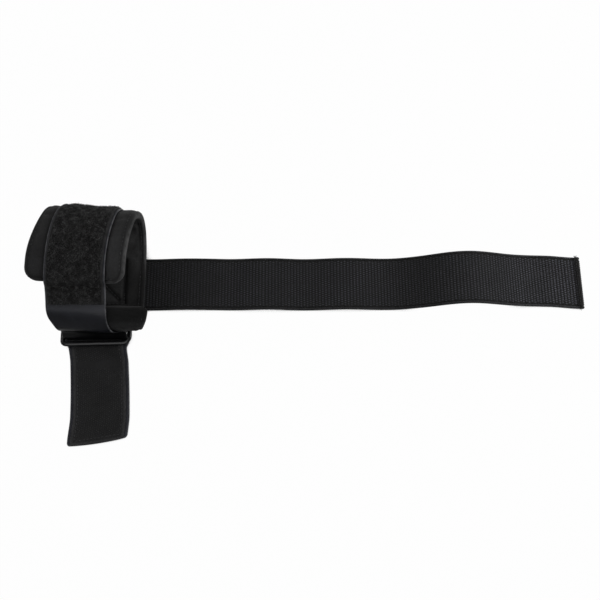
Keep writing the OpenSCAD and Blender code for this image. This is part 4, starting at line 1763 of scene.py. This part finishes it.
@dataclass
class Ring:
    """The wire ring, with the joint where its ends were butted, and the tab that holds it."""

    layout: Layout
    finishes: Finishes
    tab_spread: float = 2.2
    wider: float = 0.5
    worn_corner: float = 4.5
    askew: float = 1.0
    back: float = 0.45

    def build(self) -> list[Piece]:
        """Builds the ring and its tab and returns the pieces."""
        return [self._wire(), *self._tab()]

    def _wire(self) -> Piece:
        """The wire, swept round its rounded rectangle."""
        lay, k = self.layout, self.layout.strap
        inner = k.ring_corner - k.wire / 2
        long, short = (k.ring_width - k.wire) / 2, (k.ring_depth - k.wire) / 2
        outline = []
        corners = ((1, 1, inner), (-1, 1, inner), (-1, -1, inner), (1, -1, self.worn_corner))
        for number, (right, rear, radius) in enumerate(corners):
            turn = np.radians(90 * number + np.linspace(0, 90, 9))
            x, y = right * (long - radius), rear * (short - radius)
            outline.append(np.column_stack([x + radius * np.cos(turn), y + radius * np.sin(turn)]))
        loop = np.concatenate(outline)
        loop = np.concatenate([loop, loop[:1]])
        distance = lengths_along(loop)
        t = np.linspace(0, distance[-1], 121)[:-1]
        path = np.column_stack([np.interp(t, distance, loop[:, axis]) for axis in (0, 1)])
        c, s = heading_vector(self.askew)
        path = path @ np.array([[c, s], [-s, c]])
        tangent = np.roll(path, -1, axis=0) - np.roll(path, 1, axis=0)
        tangent /= np.linalg.norm(tangent, axis=1, keepdims=True)
        sides = 20
        turn = 2 * np.pi * np.arange(sides) / sides
        joint = 1 - 0.06 * ridge(t, distance[-1] * 0.12, 0.5)
        out = np.column_stack([tangent[:, 1], -tangent[:, 0]])
        across = np.cos(turn) * k.wire / 2 + self.wider * np.maximum(np.cos(turn), 0)
        flat = path[:, None, :] + out[:, None, :] * across[None, :, None] * joint[:, None, None]
        height = np.broadcast_to(np.sin(turn) * k.wire / 2, flat.shape[:2]) * joint[:, None]
        centre = np.array([k.ring_x, (lay.rear_bar[0] + lay.front_bar[0]) / 2 + self.back, k.wrap])
        points = np.concatenate([flat, height[..., None]], -1).reshape(-1, 3) + centre
        i, j = np.meshgrid(np.arange(len(t)), np.arange(sides), indexing="ij")
        a, b = i * sides + j, i * sides + (j + 1) % sides
        ahead = ((i + 1) % len(t)) * sides
        quads = np.stack([a, b, ahead + (j + 1) % sides, ahead + j], -1).reshape(-1, 4)
        uv = np.column_stack([np.repeat(t, sides), np.tile(turn, len(t))])
        wire = mesh_object("ring_wire", points, [quads], uv)
        face_outwards(wire)
        finish(wire, self.finishes.enamel)
        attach(wire, "ring")
        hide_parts("ring")
        return wire

    def _tab(self) -> list[Piece]:
        """The tape folded round the ring's rear bar and sewn under the pad."""
        lay, k, p = self.layout, self.layout.strap, self.layout.pad
        rise = 2 * (k.tab_thick + k.seam) + k.tab_lift - lay.tail.thick - k.seam
        turn = math.degrees(math.acos(1 - rise / p.lower_front))
        start = Line.walk((lay.flat_y, lay.tail.thick + k.seam, 180), [(p.lower_front, -turn)]).backwards()
        y, z, _ = start.station(0)
        radius = k.wire / 2 + k.bar_gap + k.tab_thick
        bar_y, bar_z = lay.rear_bar
        top, under = (bar_y, bar_z + radius, 180.0), (bar_y, bar_z - radius, 360.0)
        line = Line.join(
            Line.link((y, z - k.seam, 180 - turn), top, 5, 2),
            Line.walk(top, [(radius, 180)]),
            Line.link(under, (y, k.tab_lift, 360 - turn), 4, 4),
        )
        track = Track(line, Plane.SECTION)
        band = Band(
            "ring_tab_tape", track, 0, line.length, -k.tab_thick, 0, k.tab_width / 2 + self.tab_spread,
            straight(k.ring_x), step=0.6, pitch=1.0, edge=0.35,
            top=lambda s, x, rim: 0.06 * np.cos(2 * np.pi * x / 1.6) * eased(rim),
        )
        tape = finish(band.build(), self.finishes.tape)
        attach(tape, "cuff")
        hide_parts("ring_tab")
        side = k.tab_width / 2 - 2
        near = line.length - 3
        rows = [[(near - 3.5, -side), (near - 3.5, side)], [(near, -side), (near, side)]]
        thread = Stitching("tab_thread", track, rows, 0.05, straight(k.ring_x), 2.6).build()
        finish(thread, self.finishes.thread)
        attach(thread, "cuff")
        return [tape, thread]


@dataclass
class Tail:
    """The webbing tail: ribs of crossing threads, selvedges, a hem and a printed underside."""

    layout: Layout
    finishes: Finishes
    rib: float = 2.3
    thread: float = 1.66
    depth: float = 0.42
    selvedge: float = 2.0
    bend_reach: float = 14.0
    fuller: float = 0.65
    hem_seen: float = 1.9
    shorter: float = 2.0
    # It wanders sideways on the table.
    drift: Ramp = Ramp(80, 40, 0.6)
    wave_on: Ramp = Ramp(235, 40, 1.1)
    wave_off: Ramp = Ramp(330, 22)
    wave_crest: Ridge = Ridge(318, 18, 0.8)
    # Painted shade along it: darkest near the cuff, lighter further along, darker again over its dips.
    least: float = 0.66
    fades: tuple[Ramp, ...] = (Ramp(70, 35, 0.14), Ramp(260, 80, 0.15))
    darks: tuple[Ridge, ...] = (Ridge(235, 26, 0.08), Ridge(140, 16, 0.05))
    # Its print: distance and width of the slanted bars, distance of the dots.
    cell: float = 26.0
    bar: float = 5.0
    slant: float = 0.35
    dot_pitch: float = 1.9

    def __post_init__(self) -> None:
        """Works out the tail's line and its bending places."""
        t = self.layout.tail
        self.start = self.layout.pad.width / 2 + t.root_clear
        self.bends = self.start + np.concatenate([[0], np.cumsum(t.stretches)])
        rows = [np.array([[self.start - t.sewn, 0, 0], [self.start, 0, 0]])]
        for i, (length, rise) in enumerate(zip(t.stretches, t.rises)):
            x = np.linspace(0, length, 81)[1:]
            turn = 2 * np.pi * x / length
            slope = np.degrees(np.arctan(rise * np.pi / length * np.sin(turn)))
            rows.append(np.column_stack([self.bends[i] + x, rise / 2 * (1 - np.cos(turn)), slope]))
        self.line = Line.of(np.concatenate(rows))
        self.track = Track(self.line, Plane.TAIL)

    def middle(self, s: Array) -> Array:
        """Sideways place of the tail, which wanders a little on the table."""
        x = self.line.at(s)[0]
        wave = self.wave_on(x) * (1 - self.wave_off(x)) + self.wave_crest(x)
        return self.layout.tail.middle - self.drift(x) + wave

    def bend_at(self, number: int) -> float:
        """Distance along the tail of one of its bending places."""
        return float(np.interp(self.bends[number], self.line.a, self.line.s))

    def weave(self, s: Array, x: Array, rim: Array) -> Array:
        """Height of the crossing threads: long floats over each rib, offset from rib to rib."""
        rib = s / self.rib
        strand = x / self.thread + 0.5 * (np.floor(rib) % 2)
        crown = np.abs(np.sin(np.pi * rib))
        bead = np.abs(np.cos(np.pi * strand))
        inner = eased((rim - self.selvedge) / 0.5)
        cord = np.sqrt(np.abs(np.sin(2 * np.pi * rib)))
        sewn = eased((self.line.at(s)[0] - self.layout.pad.width / 2 + 2) / 4)
        body = crown * (0.1 + 0.9 * bead) * inner + 0.8 * cord * ridge(rim, 1.1, 0.7)
        return sewn * self.depth * (body - 0.8 - 1.0 * ridge(rim, self.selvedge, 0.4))

    def fading(self, s: Array, x: Array) -> Array:
        """Painted shade on the webbing, as the share of colour kept: most towards its end, and less near the
        cuff and over the dip before the last bend.
        """
        along = self.line.at(s)[0]
        used = self.least + sum(fade(along) for fade in self.fades)
        return used - sum(dark(along) for dark in self.darks)

    def build(self) -> list[Piece]:
        """Builds the tail in five lengths, cut between its bending places, and its hem.

        Returns:
            The pieces made.
        """
        t = self.layout.tail
        centres = [self.bend_at(i) for i in range(5)]
        end = self.bend_at(5) - t.thick - self.shorter
        cuts = [0.0, *[(a + b) / 2 for a, b in zip(centres, centres[1:])], end]
        bodies = ["cuff", *(f"tail_{i}" for i in range(1, 6))]
        nodes = [("tail_root", "tail_1"), *((body,) for body in bodies[2:])]
        pieces = []
        for i in range(5):
            where = [self.track.point(centres[i] + d, t.middle, t.thick / 2)
                     for d in (-self.bend_reach, self.bend_reach)]
            band = Band(
                f"webbing_{i + 1}", self.track, cuts[i], cuts[i + 1], 0, t.thick, t.width / 2 + self.fuller,
                self.middle,
                step=0.385, pitch=0.36, edge=0.5, soft=(i == 0, False),
                top=self.weave, base=lambda s, x, rim: -0.5 * self.weave(s, x, rim), worn=self.fading,
            )
            length = finish(band.build(), self.finishes.webbing)
            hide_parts(*nodes[i])
            prints = self._prints(i, max(cuts[i], self.bend_at(0) + 3), min(cuts[i + 1], end - t.hem - 3))
            for piece in (length, *prints):
                bend_between(piece, bodies[i], bodies[i + 1], *where)
                pieces.append(piece)
        hem = self._hem(end)
        for piece in hem:
            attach(piece, "tail_5")
        return [*pieces, *hem]

    def _prints(self, number: int, start: float, end: float) -> list[Piece]:
        """The grip print under one length of tail: a rubber skin, raised dots and slanted white bars.

        Args:
            number: Which length.
            start: Where the print starts.
            end: Where it ends.

        Returns:
            The skin, the dots and the bars.
        """
        t = self.layout.tail
        half = t.width / 2 - t.margin
        band = Band(
            f"grip_skin_{number + 1}", self.track, start, end, -0.02, 0.3, half, self.middle,
            step=1.5, pitch=1.5, edge=0.12, soft=(number == 0, number == 4),
        )
        skin = finish(band.build(), self.finishes.rubber)
        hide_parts(f"grip_{number + 1}")
        spots = staggered((start + 1.2, end - 1), (-half + 1.4, half - 1), self.dot_pitch)
        lane = (spots[:, 0] + self.slant * spots[:, 1]) % self.cell
        spots = spots[(lane > self.bar + 1.2) & (lane < self.cell - 1.2) & (spots[:, 0] < end - 0.8)]
        dots = self._dots(f"grip_dots_{number + 1}", spots)
        return [skin, dots, *self._bars(f"grip_bars_{number + 1}", band)]

    def _dots(self, name: str, spots: Array) -> Piece:
        """Small domes of rubber on the underside.

        Args:
            name: Name of the piece.
            spots: Places (s, x) of the dots.

        Returns:
            The dots as one piece.
        """
        s, x = spots[:, 0], spots[:, 1] + self.middle(spots[:, 0])
        core = np.stack([self.track.place(s, x, -0.25 * down + 0.02) for down in (0.0, 0.5, 0.85, 1.0)], 1)
        along = self.track.place(s + 1, x, 0.0) - self.track.place(s, x, 0.0)
        out = np.broadcast_to(along[:, None, :], core.shape)
        dots = thread_object(name, core, out, np.array([0.62, 0.5, 0.28, 0.05]), 6)
        return finish(dots, self.finishes.rubber)

    def _bars(self, name: str, skin: Band) -> list[Piece]:
        """Slanted white bars between the fields of dots.

        Args:
            name: Name of the piece.
            skin: The band that they are printed on.

        Returns:
            One piece that holds the bars, or none.
        """
        points, quads = [], []
        across = np.linspace(-skin.half + 1.5, skin.half - 1.5, 16)
        for number in range(math.floor(skin.start / self.cell) - 1, math.ceil(skin.end / self.cell) + 2):
            first = number * self.cell - self.slant * across + 0.7
            last = first + self.bar - 1.4
            if first.min() < skin.start + 0.3 or last.max() > skin.end - 0.3:
                continue
            base = sum(len(p) for p in points)
            grid = np.linspace(0, 1, 5)[None, :] * (last - first)[:, None] + first[:, None]
            x = np.broadcast_to(across[:, None], grid.shape) + self.middle(grid)
            for height in (-0.1, 0.02):
                points.append(self.track.place(grid, x, height).reshape(-1, 3))
            quads.append(slab_faces(*grid.shape, base))
        if not points:
            return []
        joined = np.concatenate(points)
        piece = mesh_object(name, joined, quads, joined[:, :2])
        face_outwards(piece)
        return [finish(piece, self.finishes.ink)]

    def _hem(self, end: float) -> list[Piece]:
        """The end of the webbing, folded back over itself and sewn down.

        Args:
            end: Where the fold starts.

        Returns:
            The fold and its stitches.
        """
        t, seam = self.layout.tail, self.layout.strap.seam
        x, z, _ = self.line.station(end)
        radius = t.thick + seam / 2
        line = Line.walk((x, z, 0), [(radius, 180), (0, self.hem_seen)])
        track = Track(line, Plane.TAIL)
        centre = float(self.middle(np.array(end))) - 0.3
        band = Band(
            "tail_hem_fold", track, 0, line.length, 0, t.thick, t.width / 2 + self.fuller, straight(centre),
            step=0.4, pitch=0.415, edge=0.6, soft=(False, False),
            base=lambda s, x, rim: 1.7 * eased((s - line.length + self.hem_seen) / self.hem_seen)
            - 0.8 * self.weave(s + end, x, rim), sunk=0.6,
        )
        fold = finish(band.build(), self.finishes.hem)
        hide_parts("tail_hem")
        side = t.width / 2 - 1.5
        far = line.length - self.hem_seen / 2
        rows = [[(far, -side), (far, side)]]
        height = t.thick - 0.88
        thread = Stitching("hem_thread", track, rows, height, straight(centre), 2.2, thick=0.5).build()
        finish(thread, self.finishes.thread)
        return [fold, thread, self._loose_ends(track, centre)]

    def _loose_ends(self, track: Track, centre: float) -> Piece:
        """Cut threads that stick out at the hem's two corners.

        Args:
            track: The hem's track.
            centre: Its middle across the tail.

        Returns:
            The threads as one piece.
        """
        random = np.random.default_rng(17)
        count = 34
        side = np.where(np.arange(count) < 22, 1.0, -1.0) * (self.layout.tail.width / 2 + self.fuller)
        far = track.line.length
        s = far - random.uniform(0, 1.6, count)
        spots = np.column_stack([s, centre + side * random.uniform(0.97, 1.0, count)])
        lean = math.pi / 2 * np.sign(side) + random.normal(0, 0.5, count)
        shape = np.array([[0, 0], [0.4, 0.1], [0.8, 0.12], [1.1, 0.0]])
        tall = random.uniform(0.5, 1.7, count)
        ends = Tufts("tail_hem_ends", track, spots, np.full(count, 0.7), shape, tall, lean, 0.6, 0.2, 0.2, 23)
        return finish(ends.build(), self.finishes.thread)


@dataclass
class SewnBox:
    """The box of stitches that holds the tail, seen on the lining and under the tail."""

    layout: Layout
    finishes: Finishes
    inset: float = 2.5
    left: float = -13.0
    cross: float = 3.5

    def rows(self) -> list[list[Pair]]:
        """The box's four sides and the two lines of its cross, as places (s, x) on the skin."""
        lay, t = self.layout, self.layout.tail
        near = lay.front_length + (t.middle - t.width / 2 + self.inset - lay.flat_y)
        far, right = near + t.width - 2 * self.inset, lay.pad.width / 2 - 12.5
        corners = [(near, self.left), (far, self.left), (far, right), (near, right)]
        low, high = self.left + self.cross, right - self.cross
        start, end = near + self.cross, far - self.cross
        cross = [[(start, low), (end, high)], [(end, low), (start, high)]]
        return [[corners[i], corners[(i + 1) % 4]] for i in range(4)] + cross

    def build(self) -> list[Piece]:
        """Builds the box and its cross on both faces.

        Returns:
            The two rows of stitches.
        """
        lay = self.layout
        track, thick = Track(lay.skin, Plane.SECTION), lay.pad.thick
        under = lay.tail.thick + lay.strap.seam - 0.08
        pieces = []
        for name, height in (("box_thread_lining", 0.9 - thick), ("box_thread_under", under)):
            box = Stitching(name, track, self.rows(), height, straight(0), thick=0.6).build()
            finish(box, self.finishes.thread)
            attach(box, "cuff")
            pieces.append(box)
        return pieces


# ---- The studio ----


@dataclass(frozen=True)
class Studio:
    """Floor, light and camera."""

    focal: float = 740.0
    image: float = 600.0
    tilt: float = 74.5
    yaw: float = -0.25
    roll: float = -0.1
    distance: float = 542.0
    target: tuple[float, float, float] = (147.0, -16.1, 0.0)

    def build(self) -> None:
        """Builds the studio and sets the view's colours."""
        bpy.context.scene.view_settings.view_transform = "Standard"
        self._floor()
        self._world()
        self._light("right", (660, 60, 280), 300, 4.7)
        self._light("back", (60, 540, 480), 400, 1.2)
        self._light("left", (-400, 150, 420), 300, 2.4)
        self._light("top", (40, -160, 820), 500, 1.8)
        self._light("front", (0, -380, 480), 500, 5.6, False)
        self._camera()

    @staticmethod
    def _floor() -> None:
        """A wide white floor."""
        side = 4.0
        corners = [(x * side, y * side, 0) for x, y in ((-1, -1), (1, -1), (1, 1), (-1, 1))]
        mesh = bpy.data.meshes.new("floor")
        mesh.from_pydata(corners, [], [(0, 1, 2, 3)])
        floor = bpy.data.objects.new("floor", mesh)
        floor.location.z = -0.3 * MM
        bpy.context.scene.collection.objects.link(floor)
        mesh.materials.append(FloorFinish().material())

    @staticmethod
    def _world() -> None:
        """An even pale world that the camera sees as white."""
        world = bpy.context.scene.world = bpy.data.worlds.new("studio")
        world.use_nodes = True
        g = Graph(world.node_tree)
        back = world.node_tree.nodes["Background"]
        path = g.add("LightPath")
        seen = g.math("MAXIMUM", path.outputs["Is Camera Ray"], path.outputs["Is Transmission Ray"])
        seen = g.math("MAXIMUM", seen, path.outputs["Is Glossy Ray"])
        g.feed(back, {"Strength": g.between(seen, 0.0, 1.0, 0.18, 1.0), "Color": (1, 1, 1, 1)})

    @staticmethod
    def _light(
        name: str, place: tuple[float, float, float], side: float, power: float, plain: bool = True,
    ) -> None:
        """Adds a soft square light that faces the middle of the strap.

        Args:
            name: Its name.
            place: Where it stands, in millimetres.
            side: Length of its side, in millimetres.
            power: Its power in watts.
            plain: Whether it also lights what doesn't shine; if not, it is only a sheen on what does.
        """
        light = bpy.data.lights.new(name, "AREA")
        light.shape = "SQUARE"
        light.size = side * MM
        light.energy = power
        holder = bpy.data.objects.new(name, light)
        holder.location = Vector(place) * MM
        aim = Vector((110, -10, 0)) * MM - holder.location
        holder.rotation_euler = aim.to_track_quat("-Z", "Y").to_euler()
        holder.visible_diffuse = plain
        bpy.context.scene.collection.objects.link(holder)

    def _camera(self) -> None:
        """Adds the camera, looking down at the strap."""
        tilt, yaw, roll = (math.radians(v) for v in (self.tilt, self.yaw, self.roll))
        turn = Matrix.Rotation(yaw, 3, "Z")
        ahead = turn @ Vector((0, math.cos(tilt), -math.sin(tilt)))
        right = turn @ Vector((1, 0, 0))
        up = right.cross(ahead)
        right, up = right * math.cos(roll) + up * math.sin(roll), up * math.cos(roll) - right * math.sin(roll)
        data = bpy.data.cameras.new("camera")
        data.sensor_width = 36.0
        data.lens = self.focal / self.image * data.sensor_width
        data.clip_start, data.clip_end = 0.01, 20
        holder = bpy.data.objects.new("camera", data)
        place = (Vector(self.target) - self.distance * ahead) * MM
        holder.matrix_world = Matrix.Translation(place) @ Matrix((right, up, -ahead)).transposed().to_4x4()
        bpy.context.scene.collection.objects.link(holder)
        bpy.context.scene.camera = holder


def main() -> None:
    """Builds the strap's looks round its frame."""
    logging.basicConfig(level=logging.INFO, format="%(name)s: %(message)s")
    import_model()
    layout, finishes = Layout(), Finishes()
    for part in (Pad, ClosureStrap, Ring, Tail, SewnBox):
        for piece in part(layout, finishes).build():
            LOG.info("%s: %s, %d points", part.__name__, piece.name, len(piece.data.vertices))
    Studio().build()


if __name__ == "__main__":
    main()
